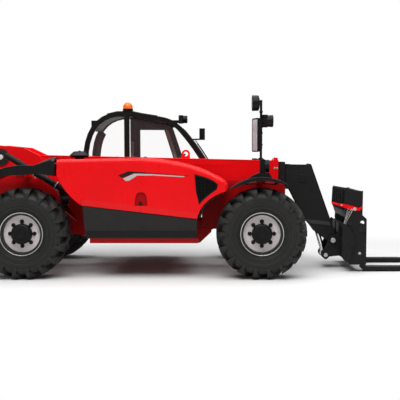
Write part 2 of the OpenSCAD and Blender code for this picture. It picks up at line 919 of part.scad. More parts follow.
module inner_boom() {
    color([0.11, 0.11, 0.11]) {
        at_boom()
            tube(400, boom_end + 150, third_half, third_high, boom_wall - 2);
        both()
            head_cheek();
        slab([[1140, 1283], [1150, 1270], [1380, 626], [1441, 469], [1422, 466], [1362, 620], [1128, 1264]],
             -96, 96);
        slab([[840, 1272], [1140, 1266], [1140, 1250], [840, 1256]], -96, 96);
        bar(1048, 1107, upper_pin, -100, 100);
    }
}

// lift cylinder from the frame to the boom
lift_reach = norm([along(-900) - along(-2150), 960 - 800]);
module lift_barrel() {
    color([0.1, 0.1, 0.1])
        difference() {
            union() {
                bar(-2150, 800, 60, -65, 65);
                strut(-2150, 800, -900, 960, 65, 30, lift_reach - 130);
            }
            bar(-2150, 800, anchor_pin + pin_gap, -80, 80);
            strut(-2150, 800, -900, 960, 40 + pin_gap, 150, lift_reach);
        }
}
module lift_rod() {
    color([0.8, 0.8, 0.82])
        difference() {
            union() {
                strut(-2150, 800, -900, 960, 40, 200, lift_reach - 20);
                bar(-900, 960, 54, -40, 40);
            }
            bar(-900, 960, 30.5, -60, 60);
        }
}
module tilt_barrel() {
    color([0.1, 0.1, 0.1])
        difference() {
            union() {
                bar(1048, 1107, 48, -45, 45);
                strut(1048, 1107, 1335, 165, 52, 20, 595);
            }
            bar(1048, 1107, upper_pin + pin_gap, -80, 80);
            strut(1048, 1107, 1335, 165, 30 + pin_gap, 80, 700);
        }
}
module tilt_rod() {
    reach = norm([1335 - 1048, 1107 - 165]);
    color([0.8, 0.8, 0.82])
        difference() {
            union() {
                strut(1048, 1107, 1335, 165, 30, 420, reach - 20);
                bar(1335, 165, 44, -40, 40);
            }
            bar(1335, 165, 24.5, -60, 60);
        }
}

// tool side of the tilt pivot
carriage_half = 408;
carriage_plate = 25;
coupler_out = carriage_half + carriage_plate;
module coupler() {
    color([0.12, 0.12, 0.12]) {
        both() {
            slab([[1335, 117], [1382, 143], [1485, 154], [1545, 150], [1545, 560], [1500, 560],
                  [1487, 420], [1424, 405], [1365, 345], [1290, 180]], 140, 166);
            bar(1335, 165, 48, 140, 166);
            bar(1335, 165, 24, 140, 176);
            bar(1424, 345, 62, 140, 166);
            bar(1424, 345, tilt_pin, 88, 176);
            bar(1335, 165, 48, 58, 84);
            bar(1335, 165, 24, 46, 84);
            slab([[1310, 207], [1335, 117], [1382, 135], [1506, 180], [1506, 320]], 58, 84);
            slab([[1510, 135], [1487, 175], [1487, 560], [1500, 580], [1560, 540], [1616, 466], [1644, 397],
                  [1640, 330], [1620, 293], [1560, 121]], coupler_out, coupler_out + 25);
        }
        block(1505, 1545, -coupler_out - 1, coupler_out + 1, 180, 560);
    }
}
module lock_lever() {
    color([0.85, 0.05, 0.07])
        slab([[1356, 842], [1365, 812], [1450, 790], [1510, 768], [1640, 728], [1690, 735], [1730, 770],
              [1715, 785], [1680, 765], [1640, 780], [1500, 815], [1440, 818]],
             -coupler_out - 12, -coupler_out);
}
module carriage_side() {
    difference() {
        slab([[1571, 86], [1776, 86], [1776, 632], [1725, 680], [1728, 967], [1674, 964], [1517, 991],
              [1505, 760], [1545, 650], [1545, 150]], carriage_half, coupler_out);
        bar(1725, 587, 26, carriage_half - 5, coupler_out + 5);
    }
}
module carriage() {
    color([0.1, 0.1, 0.1]) {
        both()
            carriage_side();
        block(1674, 1726, -carriage_half - 1, carriage_half + 1, 890, 960);
        block(1571, 1726, -carriage_half - 1, carriage_half + 1, 100, 160);
        bar(1717, 517, 36, -coupler_out - 4, coupler_out + 4);
        slab([[1517, 990], [1545, 985], [1545, 640], [1525, 690], [1506, 760]],
             -carriage_half - 1, carriage_half + 1);
        for (y = [-325 : 130 : 325])
            slab([[1492, 978], [1520, 984], [1512, 720], [1482, 765]], y - 9, y + 9);
    }
}
module fork() {
    y0 = fork_offset - fork_width / 2;
    y1 = fork_offset + fork_width / 2;
    tip = 1771 + fork_length;
    low = 12;
    top = low + fork_thick;
    difference() {
        union() {
            slab([[1726, low + 25], [1751, low], [tip, low], [tip, low + 12], [2350, top], [1790, top],
                  [1771, top + 19], [1771, 480], [1755, 500], [1726, 500]], y0, y1);
            bar(1717, 517, 60, y0, y1);
        }
        bar(1717, 517, 36.3, y0 - 5, y1 + 5);
        block(1600, 1726, y0 - 5, y1 + 5, 90, 450);
        fork_tip_cut(tip, y0, -1);
        fork_tip_cut(tip, y1, 1);
    }
}
module fork_tip_cut(tip, y, s) {
    translate([along(tip), y, 0])
        linear_extrude(height = 200)
            polygon([[-140, s], [1, s], [1, -s * 30]]);
}
module forks() {
    color([0.1, 0.1, 0.1])
        both()
            fork();
}

chassis();
counterweight();
side_frame();
axles();
engine_block();
side_panels();
fenders();
lamps();
mirrors();
exhaust_pipes();
cab_base();
cab_frame();
cab_roof();
cab_glass();
seat();
controls();
beacon();
hood();
hood_grille();
pre_cleaner();
door();
door_glass();
knuckle_front_right();
knuckle_front_left();
knuckle_rear_right();
knuckle_rear_left();
tyre_front_right();
tyre_front_left();
tyre_rear_right();
tyre_rear_left();
rim_front_right();
rim_front_left();
rim_rear_right();
rim_rear_left();
outer_boom();
middle_boom();
inner_boom();
lift_barrel();
lift_rod();
tilt_barrel();
tilt_rod();
coupler();
lock_lever();
carriage();
forks();
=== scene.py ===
"""Looks of a compact telehandler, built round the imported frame.

Metres, +X forward, +Y left, +Z up. Outlines and profiles given through mm or upright are in millimetres.
"""

import json
import math

import bmesh
import bpy
from mathutils import Matrix, Vector


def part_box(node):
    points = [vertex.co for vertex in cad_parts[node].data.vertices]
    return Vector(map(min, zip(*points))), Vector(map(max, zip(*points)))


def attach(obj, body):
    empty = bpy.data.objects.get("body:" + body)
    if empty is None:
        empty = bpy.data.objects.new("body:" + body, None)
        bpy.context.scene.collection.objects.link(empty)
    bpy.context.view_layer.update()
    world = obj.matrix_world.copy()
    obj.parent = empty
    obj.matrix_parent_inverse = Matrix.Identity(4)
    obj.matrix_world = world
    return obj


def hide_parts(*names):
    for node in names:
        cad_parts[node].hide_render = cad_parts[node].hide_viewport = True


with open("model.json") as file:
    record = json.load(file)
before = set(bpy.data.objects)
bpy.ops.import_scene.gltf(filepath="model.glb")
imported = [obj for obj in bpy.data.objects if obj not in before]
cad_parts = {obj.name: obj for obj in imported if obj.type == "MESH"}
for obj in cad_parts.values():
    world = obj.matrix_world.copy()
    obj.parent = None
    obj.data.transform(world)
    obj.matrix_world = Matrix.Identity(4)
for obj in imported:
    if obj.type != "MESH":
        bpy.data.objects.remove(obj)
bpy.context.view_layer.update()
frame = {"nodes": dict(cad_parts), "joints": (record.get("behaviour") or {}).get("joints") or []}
scene = bpy.context.scene
nodes = frame["nodes"]
pins = {joint["name"]: joint["pos_m"] for joint in frame["joints"] if "pos_m" in joint}

MM = 0.001
CORNERS = ("front_right", "front_left", "rear_right", "rear_left")
RIGHT, LEFT = -1.0, 1.0
ORIGIN = (0, 0, 0)
FORWARD, BACKWARD = (1, 0, 0), (-1, 0, 0)
LEFTWARD, RIGHTWARD = (0, 1, 0), (0, -1, 0)
UP, DOWN = (0, 0, 1), (0, 0, -1)


# Node helpers for materials

def new_material(name):
    material = bpy.data.materials.new(name)
    material.use_nodes = True
    tree = material.node_tree
    return material, tree, tree.nodes["Principled BSDF"]


def feed(tree, node, sockets):
    """Sets inputs of a node to values, or links them to outputs of other nodes."""
    for socket, value in sockets.items():
        if isinstance(value, bpy.types.NodeSocket):
            tree.links.new(value, node.inputs[socket])
        else:
            node.inputs[socket].default_value = value


def add_node(tree, kind, sockets=None, **settings):
    node = tree.nodes.new("ShaderNode" + kind)
    for key, value in settings.items():
        setattr(node, key, value)
    feed(tree, node, sockets or {})
    return node


def noise(tree, scale, detail=4.0):
    place = add_node(tree, "TexCoord").outputs["Object"]
    sockets = {"Vector": place, "Scale": scale, "Detail": detail, "Roughness": 0.55}
    return add_node(tree, "TexNoise", sockets).outputs["Fac"]


def ramp(tree, value, stops):
    """Colour between two stops of (place, colour)."""
    node = add_node(tree, "ValToRGB", {"Fac": value})
    for element, (place, colour) in zip(node.color_ramp.elements, stops):
        element.position = place
        element.color = (*colour, 1.0)
    return node.outputs["Color"]


def span(tree, value, low, high, from_low=0.3, from_high=0.7):
    sockets = {"Value": value, "From Min": from_low, "From Max": from_high, "To Min": low, "To Max": high}
    return add_node(tree, "MapRange", sockets).outputs["Result"]


def shade(colour, factor):
    return tuple(min(1.0, c * factor) for c in colour)


# places of the colour sockets on a Mix node
MIX_FIRST, MIX_SECOND, MIX_RESULT = 6, 7, 2


def surface(name, colour, rough, spread=0.06, vary=0.08, scale=7.0, grain=None, metal=0.0, coat=0.0,
            gloss=0.3, bump_size=0.0004, gap=0.0, shade_below=None):
    """A painted, moulded or cast surface: cloudy colour, uneven gloss and grain.

    grain is its strength and fineness, gap paints shade into hollows up to that width, and shade_below is the
    colour of painted shade low down, with the two heights between which it fades out.
    """
    material, tree, shader = new_material(name)
    cloud = noise(tree, scale)
    colours = ramp(tree, cloud, ((0.3, shade(colour, 1 - vary)), (0.7, shade(colour, 1 + vary))))
    # painted shade: the colour darkens in hollows, up to the gap width
    if gap:
        hollow_shade = {"Distance": gap, "Color": colours}
        colours = add_node(tree, "AmbientOcclusion", hollow_shade, samples=8).outputs["Color"]
    # painted shade: towards the bottom the colour fades to a darker colour, between the two given heights
    if shade_below:
        shade_colour, low, high = shade_below
        place = add_node(tree, "TexCoord").outputs["Object"]
        height = add_node(tree, "SeparateXYZ", {"Vector": place}).outputs["Z"]
        mix = {"Factor": span(tree, height, 0.0, 1.0, low, high), MIX_FIRST: (*shade_colour, 1.0),
               MIX_SECOND: colours}
        colours = add_node(tree, "Mix", mix, data_type="RGBA").outputs[MIX_RESULT]
    gloss_spots = span(tree, noise(tree, scale * 5), max(0.02, rough - spread), rough + spread)
    feed(tree, shader, {"Base Color": colours, "Roughness": gloss_spots, "Metallic": metal,
                        "Specular IOR Level": gloss, "Coat Weight": coat, "Coat Roughness": 0.06})
    if grain:
        strength, fineness = grain
        height = {"Height": noise(tree, fineness, 2.0), "Strength": strength, "Distance": bump_size}
        feed(tree, shader, {"Normal": add_node(tree, "Bump", height).outputs["Normal"]})
    return material


def glass_material():
    material, tree, shader = new_material("window_glass")
    tint = ramp(tree, noise(tree, 3.0), ((0.3, (0.72, 0.75, 0.75)), (0.7, (0.76, 0.78, 0.78))))
    feed(tree, shader, {"Base Color": tint, "Roughness": 0.03, "Alpha": 0.02})
    return material


RED = (0.8, 0.004, 0.007)
SHADED_RED = (0.3, 0.002, 0.003)
BLACK = (0.0045, 0.0045, 0.0045)
CHARCOAL = (0.0125, 0.0115, 0.0115)

PAINT_RED = surface("paint_red", RED, 0.36, vary=0.05, scale=2.5, grain=(0.03, 260), gloss=0.1)
HOOD_RED = surface("hood_red", RED, 0.32, vary=0.04, scale=2.0, grain=(0.02, 220), gloss=0.16, coat=0.05)
# painted shade: the paint red darkened, for parts that sit in shade
RED_IN_SHADE = surface("red_painted_shade", (0.36, 0.002, 0.003), 0.45, vary=0.06, grain=(0.05, 300), gloss=0.1)
# painted shade: chassis and side frame are fully shaded red below 1.02 m, fading back to the paint red by
# 1.16 m
FRAME_RED = surface("frame_red", RED, 0.4, vary=0.05, scale=2.5, grain=(0.04, 280), gloss=0.1,
                    shade_below=(SHADED_RED, 1.02, 1.16))
BOOM_BLACK = surface("boom_black", CHARCOAL, 0.5, grain=(0.1, 500), gloss=0.15)
# on the boom head's bands this lighter grey is a painted highlight
BAND_GREY = surface("band_grey", (0.04, 0.038, 0.038), 0.45, grain=(0.1, 500), gloss=0.2)
CAB_BLACK = surface("cab_black", BLACK, 0.3, spread=0.02, grain=(0.06, 700), gloss=0.22)
PLASTIC_BLACK = surface("plastic_black", BLACK, 0.42, grain=(0.25, 1400), gloss=0.18)
FENDER_BLACK = surface("fender_black", BLACK, 0.26, spread=0.02, grain=(0.05, 900), gloss=0.32)
PANEL_GREY = surface("panel_grey", (0.021, 0.019, 0.0185), 0.62, grain=(0.45, 1100), gloss=0.15)
CAST_DARK = surface("cast_dark", (0.014, 0.014, 0.014), 0.58, grain=(0.5, 320), gloss=0.2)
ENGINE_GREY = surface("engine_grey", (0.05, 0.05, 0.055), 0.6, grain=(0.4, 240))
FORK_BLACK = surface("fork_black", BLACK, 0.42, grain=(0.2, 420), gloss=0.25)
RIM_GREY = surface("rim_grey", (0.74, 0.67, 0.67), 0.42, vary=0.05, grain=(0.05, 600))
STEEL = surface("steel", (0.62, 0.61, 0.6), 0.3, metal=1.0, scale=30, grain=(0.05, 900), gloss=0.5)
PIN_STEEL = surface("pin_steel", (0.5, 0.49, 0.48), 0.35, metal=0.35, vary=0.1, scale=40, grain=(0.05, 900),
                    gloss=0.4)
CHROME = surface("chrome", (0.86, 0.86, 0.88), 0.1, spread=0.03, metal=1.0, vary=0.03, scale=20, gloss=0.5)
SEAT_CLOTH = surface("seat_cloth", (0.02, 0.02, 0.022), 0.85, grain=(0.8, 1800))
TRIM = surface("trim", (0.018, 0.018, 0.018), 0.55, grain=(0.3, 1300), gloss=0.2)
PALE_TRIM = surface("pale_trim", (0.5, 0.48, 0.47), 0.55, grain=(0.3, 1300))
BEACON_ORANGE = surface("beacon_orange", (1.0, 0.17, 0.006), 0.18, vary=0.05, gloss=0.4)
STRIPE_GREY = surface("stripe_grey", (0.45, 0.45, 0.46), 0.4, vary=0.04, gloss=0.2)
STRIPE_BLACK = surface("stripe_black", (0.01, 0.01, 0.01), 0.4, gloss=0.2)
# painted shade in the gaps between the lugs
TYRE = surface("tyre", (0.0165, 0.0158, 0.015), 0.6, vary=0.2, scale=5, grain=(0.35, 380),
               bump_size=0.0008, gap=0.07)
LENS = surface("lens", (0.75, 0.77, 0.78), 0.08, scale=60, grain=(0.5, 160), gloss=0.5)
LENS_RED = surface("lens_red", (0.45, 0.006, 0.008), 0.15, vary=0.06, scale=60, grain=(0.4, 200))
LENS_AMBER = surface("lens_amber", (0.85, 0.2, 0.01), 0.15, vary=0.06, scale=60, grain=(0.4, 200))
MIRROR = surface("mirror_glass", (0.88, 0.9, 0.92), 0.12, spread=0.02, metal=0.45, vary=0.02, gloss=0.5)
GLASS = glass_material()

NODE_MATERIALS = {
    "chassis": FRAME_RED, "side_frame": FRAME_RED, "counterweight": CAST_DARK, "axles": CAST_DARK,
    "engine_block": ENGINE_GREY, "side_panels": PANEL_GREY, "fenders": FENDER_BLACK, "lamps": PLASTIC_BLACK,
    "mirrors": PLASTIC_BLACK, "exhaust_pipes": BOOM_BLACK, "cab_base": CAB_BLACK, "cab_frame": CAB_BLACK,
    "cab_roof": CAB_BLACK, "cab_glass": GLASS, "seat": SEAT_CLOTH, "controls": TRIM, "beacon": BEACON_ORANGE,
    "hood": HOOD_RED, "hood_grille": PLASTIC_BLACK, "pre_cleaner": PLASTIC_BLACK, "door": CAB_BLACK,
    "door_glass": GLASS, "outer_boom": PAINT_RED, "middle_boom": BOOM_BLACK, "inner_boom": BOOM_BLACK,
    "lift_barrel": BOOM_BLACK, "lift_rod": CHROME, "tilt_barrel": BOOM_BLACK, "tilt_rod": CHROME,
    "coupler": BOOM_BLACK, "lock_lever": PAINT_RED, "carriage": BOOM_BLACK, "forks": FORK_BLACK,
}
for corner in CORNERS:
    NODE_MATERIALS["knuckle_" + corner] = CAST_DARK
    NODE_MATERIALS["tyre_" + corner] = TYRE
    NODE_MATERIALS["rim_" + corner] = RIM_GREY
for name, material in NODE_MATERIALS.items():
    nodes[name].data.materials.clear()
    nodes[name].data.materials.append(material)


# Mesh building

SHARP_ANGLE = math.radians(40)
MERGE_DISTANCE = 1e-6


def full_turn(count, start=0.0):
    """Angles in equal steps round a circle."""
    return [2 * math.pi * (k + start) / count for k in range(count)]


class Shape:
    """Gathers closed meshes into one piece."""

    def __init__(self):
        self.points = []
        self.faces = []

    def add(self, points, faces):
        start = len(self.points)
        self.points.extend(Vector(p) for p in points)
        self.faces.extend([start + i for i in face] for face in faces)
        return self

    def loft(self, rings, closed=False):
        """Skins rings of equal length, with a cap on each open end."""
        count = len(rings[0])
        points = [p for ring in rings for p in ring]
        faces = []
        for i in range(len(rings) if closed else len(rings) - 1):
            a, b = i * count, (i + 1) % len(rings) * count
            for k in range(count):
                n = (k + 1) % count
                faces.append([a + k, a + n, b + n, b + k])
        if not closed:
            faces.append(list(range(count)))
            faces.append([len(points) - count + k for k in range(count)])
        return self.add(points, faces)

    def lathe(self, profile, centre, axis, steps=48, closed=False):
        """Turns (radius, height) pairs round an axis through the centre."""
        turn = Vector(UP).rotation_difference(Vector(axis))
        angles = full_turn(steps)
        rings = [[Vector(centre) + turn @ Vector((r * math.cos(a), r * math.sin(a), h)) for a in angles]
                 for r, h in profile]
        return self.loft(rings, closed)

    def prism(self, outline, low, high, across="y"):
        """Extrudes a flat outline between two positions on one axis."""
        order = {"x": (2, 0, 1), "y": (0, 2, 1), "z": (0, 1, 2)}[across]
        return self.loft([[[(a, b, level)[i] for i in order] for a, b in outline] for level in (low, high)])

    def block(self, low, high):
        (x0, y0, z0), (x1, y1, z1) = low, high
        return self.prism([(x0, z0), (x1, z0), (x1, z1), (x0, z1)], y0, y1)

    def tube(self, path, radius, sides=12):
        """Sweeps a circle along a path."""
        path = [Vector(p) for p in path]
        angles = full_turn(sides)
        rings, side = [], None
        for i, p in enumerate(path):
            ahead = (path[min(i + 1, len(path) - 1)] - path[max(i - 1, 0)]).normalized()
            side = ahead.orthogonal() if side is None else side - ahead * side.dot(ahead)
            side.normalize()
            other = ahead.cross(side)
            rings.append([p + radius * (math.cos(a) * side + math.sin(a) * other) for a in angles])
        return self.loft(rings)

    def bolt(self, centre, axis, radius, height):
        """Washer, six-sided head and domed end."""
        self.lathe(((radius * 1.35, -0.002), (radius * 1.35, 0.002), (0, 0.002)), centre, axis, 20)
        head = ((radius, 0.001), (radius, height * 0.85), (radius * 0.85, height), (0, height))
        return self.lathe(head, centre, axis, 6)

    def moved(self, matrix):
        self.points = [matrix @ p for p in self.points]
        return self

    def join(self, other):
        return self.add(other.points, other.faces)

    def mirrored(self):
        """Adds the same shape on the machine's other side."""
        return self.add([(p.x, -p.y, p.z) for p in self.points], list(self.faces))


def mm(points):
    return [tuple(MM * c for c in p) for p in points]


def upright(points, level):
    """Side-view points in millimetres, set at one place across the machine."""
    return [(x * MM, level, z * MM) for x, z in points]


def bend(a, b, c, steps=8):
    """Curve from a to c, pulled towards b."""
    a, b, c = Vector(a), Vector(b), Vector(c)
    curve = []
    for i in range(steps + 1):
        t = i / steps
        curve.append(tuple((1 - t) ** 2 * a + 2 * t * (1 - t) * b + t * t * c))
    return curve


def rounded(low, high, corner, steps=5):
    """Rectangle with rounded corners."""
    (a0, b0), (a1, b1) = low, high
    outline = []
    for a, b, start in ((a1 - corner, b1 - corner, 0), (a0 + corner, b1 - corner, 90),
                        (a0 + corner, b0 + corner, 180), (a1 - corner, b0 + corner, 270)):
        for k in range(steps + 1):
            angle = math.radians(start + 90 * k / steps)
            outline.append((a + corner * math.cos(angle), b + corner * math.sin(angle)))
    return outline


def around(shape, count):
    """Copies of a shape, set evenly round the z axis."""
    ring = Shape()
    for angle in full_turn(count):
        turn = Matrix.Rotation(angle, 4, "Z")
        ring.add([turn @ p for p in shape.points], shape.faces)
    return ring


def round_edges(thing, width, segments=2, angle=30):
    modifier = thing.modifiers.new("soft_edges", "BEVEL")
    modifier.width = width
    modifier.segments = segments
    modifier.limit_method = "ANGLE"
    modifier.angle_limit = math.radians(angle)
    modifier.harden_normals = True


def add_object(name, data):
    thing = bpy.data.objects.new(name, data)
    scene.collection.objects.link(thing)
    return thing


def mesh_object(shape, name, material):
    mesh = bpy.data.meshes.new(name)
    work = bmesh.new()
    corners = [work.verts.new(p) for p in shape.points]
    for face in shape.faces:
        work.faces.new([corners[i] for i in face])
    bmesh.ops.remove_doubles(work, verts=work.verts, dist=MERGE_DISTANCE)
    bmesh.ops.dissolve_degenerate(work, edges=work.edges, dist=MERGE_DISTANCE)
    bmesh.ops.recalc_face_normals(work, faces=work.faces)
    work.to_mesh(mesh)
    work.free()
    mesh.shade_smooth()
    mesh.set_sharp_from_angle(angle=SHARP_ANGLE)
    mesh.materials.append(material)
    return add_object(name, mesh)


def piece(shape, name, body, material, bevel=0.0):
    thing = mesh_object(shape, name, material)
    if bevel:
        round_edges(thing, bevel)
    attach(thing, body)
    return thing


# Wheels, each shape made round the z axis and then turned to its corner

# radius and level of the tyre's outer side
SIDEWALL = ((0.246, 0.153), (0.2876, 0.178), (0.3473, 0.2), (0.4098, 0.197), (0.4438, 0.176))
# radius, half width and height of its raised rings, and how deep they start
SIDE_RINGS = ((0.252, 0.005, 0.004), (0.271, 0.005, 0.005), (0.3, 0.012, 0.006), (0.326, 0.004, 0.004),
              (0.366, 0.011, 0.005))
RING_ROOT = 0.003
# radius, half width, inner and outer level of a lug's end on the sidewall
LUG_END = ((0.384, 0.016, 0.186, 0.1985), (0.396, 0.019, 0.184, 0.204), (0.43, 0.021, 0.178, 0.2045),
           (0.47, 0.024, 0.16, 0.198), (0.499, 0.028, 0.12, 0.167), (0.5105, 0.03, 0.08, 0.111))
LUG_COUNT = 18
NUT_COUNT = 8
NUT_CIRCLE = 0.137


def sidewall(radius):
    for (r0, h0), (r1, h1) in zip(SIDEWALL, SIDEWALL[1:]):
        if radius <= r1:
            return h0 + (h1 - h0) * (radius - r0) / (r1 - r0)
    return SIDEWALL[-1][1]


def hub_cap():
    cap = Shape().lathe(mm(((100, 112.5), (115, 112.5), (115, 160), (109, 171), (98, 179.5), (90, 180),
                            (87, 178.5), (46, 178.5), (43, 183), (20, 183.5), (18, 181.5), (0, 181.5))),
                        ORIGIN, UP, 64)
    return cap.join(around(Shape().block((0.052, -0.0035, 0.178), (0.083, 0.0035, 0.1815)), 12))


def wheel_nuts():
    nuts = Shape()
    for angle in full_turn(NUT_COUNT):
        spot = (NUT_CIRCLE * math.cos(angle), NUT_CIRCLE * math.sin(angle), 0)
        nuts.lathe(mm(((24, 111), (24, 114.5), (21, 116.5), (0, 116.5))), spot, UP, 24)
        nuts.lathe(mm(((18.5, 114), (18.5, 131), (16, 134), (0, 134))), spot, UP, 6)
        nuts.lathe(mm(((10, 130), (10, 143), (8, 145), (0, 145))), spot, UP, 16)
    return nuts


# painted shade: a dark lining on the rim's inner barrel and flange face, where the rim's well lies in shade
def rim_well_shade():
    return Shape().lathe(mm(((214.2, 112), (214.2, 165.2), (236.5, 165.2), (236.5, 166.4), (212.8, 166.4),
                             (209, 113.5), (209, 112))), ORIGIN, UP, 72, True)


def rim_ring():
    return Shape().lathe(mm(((236, 164.5), (236, 167.2), (239, 169), (243.5, 168.5), (245, 166),
                             (245, 164.5))), ORIGIN, UP, 72, True)


def sidewall_rings():
    rings = Shape()
    for radius, width, height in SIDE_RINGS:
        rings.lathe(((radius - width, sidewall(radius - width) - RING_ROOT),
                     (radius - width * 0.7, sidewall(radius) + height),
                     (radius + width * 0.7, sidewall(radius) + height),
                     (radius + width, sidewall(radius + width) - RING_ROOT)), ORIGIN, UP, 72, True)
    return rings


def lug_ends():
    bar = Shape().loft([[(radius, -half, inner), (radius, half, inner), (radius, half, outer),
                         (radius, -half, outer)] for radius, half, inner, outer in LUG_END])
    return around(bar, LUG_COUNT)


# name, shape, material and edge width
WHEEL_TRIM = (("hub_cap", hub_cap, PLASTIC_BLACK, 0.0), ("wheel_nuts", wheel_nuts, PLASTIC_BLACK, 0.0),
              ("rim_well_shade", rim_well_shade, TRIM, 0.0), ("rim_ring", rim_ring, STEEL, 0.0),
              ("sidewall_rings", sidewall_rings, TYRE, 0.0), ("lug_ends", lug_ends, TYRE, 0.003))
VALVE_PATH = ((0.178, 0.02, 0.11), (0.18, 0.02, 0.128), (0.19, 0.022, 0.14))


def dress_wheel(corner):
    low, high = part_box("tyre_" + corner)
    out = LEFTWARD if corner.endswith("left") else RIGHTWARD
    turn = Vector(UP).rotation_difference(Vector(out)).to_matrix().to_4x4()
    face = Matrix.Translation((Vector(low) + Vector(high)) / 2) @ turn
    for name, make, material, bevel in WHEEL_TRIM:
        piece(make().moved(face), name + "_" + corner, "wheel_" + corner, material, bevel)
    valve = Shape().tube([face @ Vector(p) for p in VALVE_PATH], 0.0045, 10)
    piece(valve, "valve_" + corner, "wheel_" + corner, STEEL)


for corner in CORNERS:
    dress_wheel(corner)


# Hood

# outer side of the hood, and how far the stripes stand out of it and reach into it
HOOD_Y = -0.92
DECAL_PROUD, DECAL_SUNK = 0.001, 0.0004


def decal(outline, name, material):
    piece(Shape().prism(mm(outline), HOOD_Y - DECAL_PROUD, HOOD_Y + DECAL_SUNK), name, "hood", material)


decal([(-1112, 1166), (-993, 1214), (-722, 1194), (-722, 1187), (-932, 1192), (-1062, 1137)],
      "stripe_dark", STRIPE_BLACK)
decal([(-1056, 1131), (-930, 1186), (-722, 1181), (-722, 1165), (-896, 1166), (-982, 1111), (-1022, 1104)],
      "stripe_pale", STRIPE_GREY)
decal([(-716, 1192), (-324, 1164), (-324, 1159), (-716, 1185)], "stripe_tail_dark", STRIPE_BLACK)
decal([(-716, 1180), (-372, 1158), (-372, 1148), (-716, 1165)], "stripe_tail_pale", STRIPE_GREY)

LATCH_FLOOR = HOOD_Y + 0.011
LATCH_EDGE = ([(-926, 829)] + bend((-915, 925), (-903, 982), (-856, 977))
              + bend((-856, 977), (-809, 982), (-797, 925))[1:] + [(-788, 829)])
# painted shade: the latch pocket's recess is in a darker red
pocket = Shape().prism(mm(LATCH_EDGE), LATCH_FLOOR - 0.0015, LATCH_FLOOR + 0.0004)
pocket.tube(upright(LATCH_EDGE, HOOD_Y - 0.0008), 0.0028, 8)
piece(pocket, "latch_pocket", "hood", RED_IN_SHADE)
handle = Shape()
handle.prism(mm([(-888, 842), (-842, 842), (-838, 853), (-892, 853)]), LATCH_FLOOR - 0.01, LATCH_FLOOR)
handle.prism(mm([(-872, 826), (-858, 826), (-858, 846), (-872, 846)]), LATCH_FLOOR - 0.008, LATCH_FLOOR)
handle.lathe(mm(((12, 0), (12, 6), (10, 8), (4, 8), (4, 5), (0, 5))), (-0.865, LATCH_FLOOR, 0.868),
             RIGHTWARD, 24)
piece(handle, "latch_handle", "hood", PLASTIC_BLACK, 0.0012)

# grille wires behind the bars
GRILLE = ([(-236, 990), (-252, 1168)] + bend((-252, 1168), (-46, 1118), (-8, 1060))[1:]
          + bend((-16, 1012), (-165, 905), (-200, 850)))
WIRE_COUNT, WIRE_STEP, WIRE_START = 18, 13.5, -246
WIRE_Y = -0.9005


def height_span(outline, x):
    """Lowest and highest crossing of an outline with an upright line."""
    cross = []
    for (x0, z0), (x1, z1) in zip(outline, outline[1:] + outline[:1]):
        if (x0 - x) * (x1 - x) < 0:
            cross.append(z0 + (z1 - z0) * (x - x0) / (x1 - x0))
    return (min(cross), max(cross)) if len(cross) > 1 else None


wires = Shape()
for k in range(WIRE_COUNT):
    x = WIRE_START + WIRE_STEP * k
    reach = height_span(GRILLE, x)
    if reach:
        wires.tube(upright([(x, reach[0]), (x, reach[1])], WIRE_Y), 0.002, 6)
piece(wires, "grille_wires", "hood", PLASTIC_BLACK)
edging = Shape().tube(upright(GRILLE + GRILLE[:1], HOOD_Y + 0.003), 0.006, 10)
piece(edging, "grille_edging", "hood", PLASTIC_BLACK)

# inlet box behind the grille, with the hoses that cross it
GRILLE_X, GRILLE_Z = -150, 1035
INLET_FRONT, INLET_BACK = -0.9022, -0.8
HOSE_Y, HOSE_BULGE_Y = -0.835, -0.85


def grille_ring(grow, level):
    """The grille's outline, resized about its middle."""
    ring = [(GRILLE_X + (x - GRILLE_X) * grow, GRILLE_Z + (z - GRILLE_Z) * grow) for x, z in GRILLE]
    return upright(ring, level)


inlet = Shape()
inlet.loft([grille_ring(0.99, INLET_FRONT), grille_ring(0.94, INLET_BACK), grille_ring(0.91, INLET_BACK),
            grille_ring(0.96, INLET_FRONT)], True)
inlet.loft([grille_ring(0.935, INLET_BACK - 0.003), grille_ring(0.935, INLET_BACK + 0.001)])
piece(inlet, "inlet_box", "hood", TRIM)
hoses = Shape()
for x, radius in ((-176, 0.013), (-140, 0.008)):
    low, high = height_span(GRILLE, x)
    hoses.tube(bend((x * MM, HOSE_Y, (low + 2) * MM), ((x - 16) * MM, HOSE_BULGE_Y, (low + high) / 2 * MM),
                    (x * MM, HOSE_Y, (high - 6) * MM), 10), radius, 14)
piece(hoses, "inlet_hoses", "hood", ENGINE_GREY)

# air filter under the hood
FILTER_X, FILTER_Z = -0.19, 1.095
canister = Shape().lathe(mm(((60, 0), (70, 6), (70, 140), (76, 144), (76, 156), (70, 160), (70, 220),
                             (60, 242), (30, 246), (28, 252), (0, 252))),
                         (FILTER_X, -0.284, FILTER_Z), RIGHTWARD)
canister.tube(bend((FILTER_X, -0.44, 1.045), (-0.15, -0.42, 0.965), (-0.185, -0.28, 0.965), 12), 0.02, 16)
piece(canister, "air_filter", "machine", TRIM)
clamps = Shape()
for y in (-0.33, -0.46, -0.49):
    clamps.lathe(mm(((69.5, 0), (73.5, 2), (73.5, 12), (69.5, 14))), (FILTER_X, y, FILTER_Z), RIGHTWARD,
                 48, True)
piece(clamps, "filter_clamps", "machine", STEEL)

# breather on the hood
breather = around(Shape().block((0.054, -0.003, 1.362), (0.098, 0.003, 1.376)), 28)
breather.lathe(mm(((66, 1427.5), (70, 1428.5), (68, 1432.5), (30, 1437), (12, 1437.5), (11, 1444),
                   (0, 1444.5))), ORIGIN, UP, 40)
piece(breather.moved(Matrix.Translation((-1.596, -0.6, 0))), "breather_cap", "hood", PLASTIC_BLACK)


# Rounded edges on the plates, so that they catch light

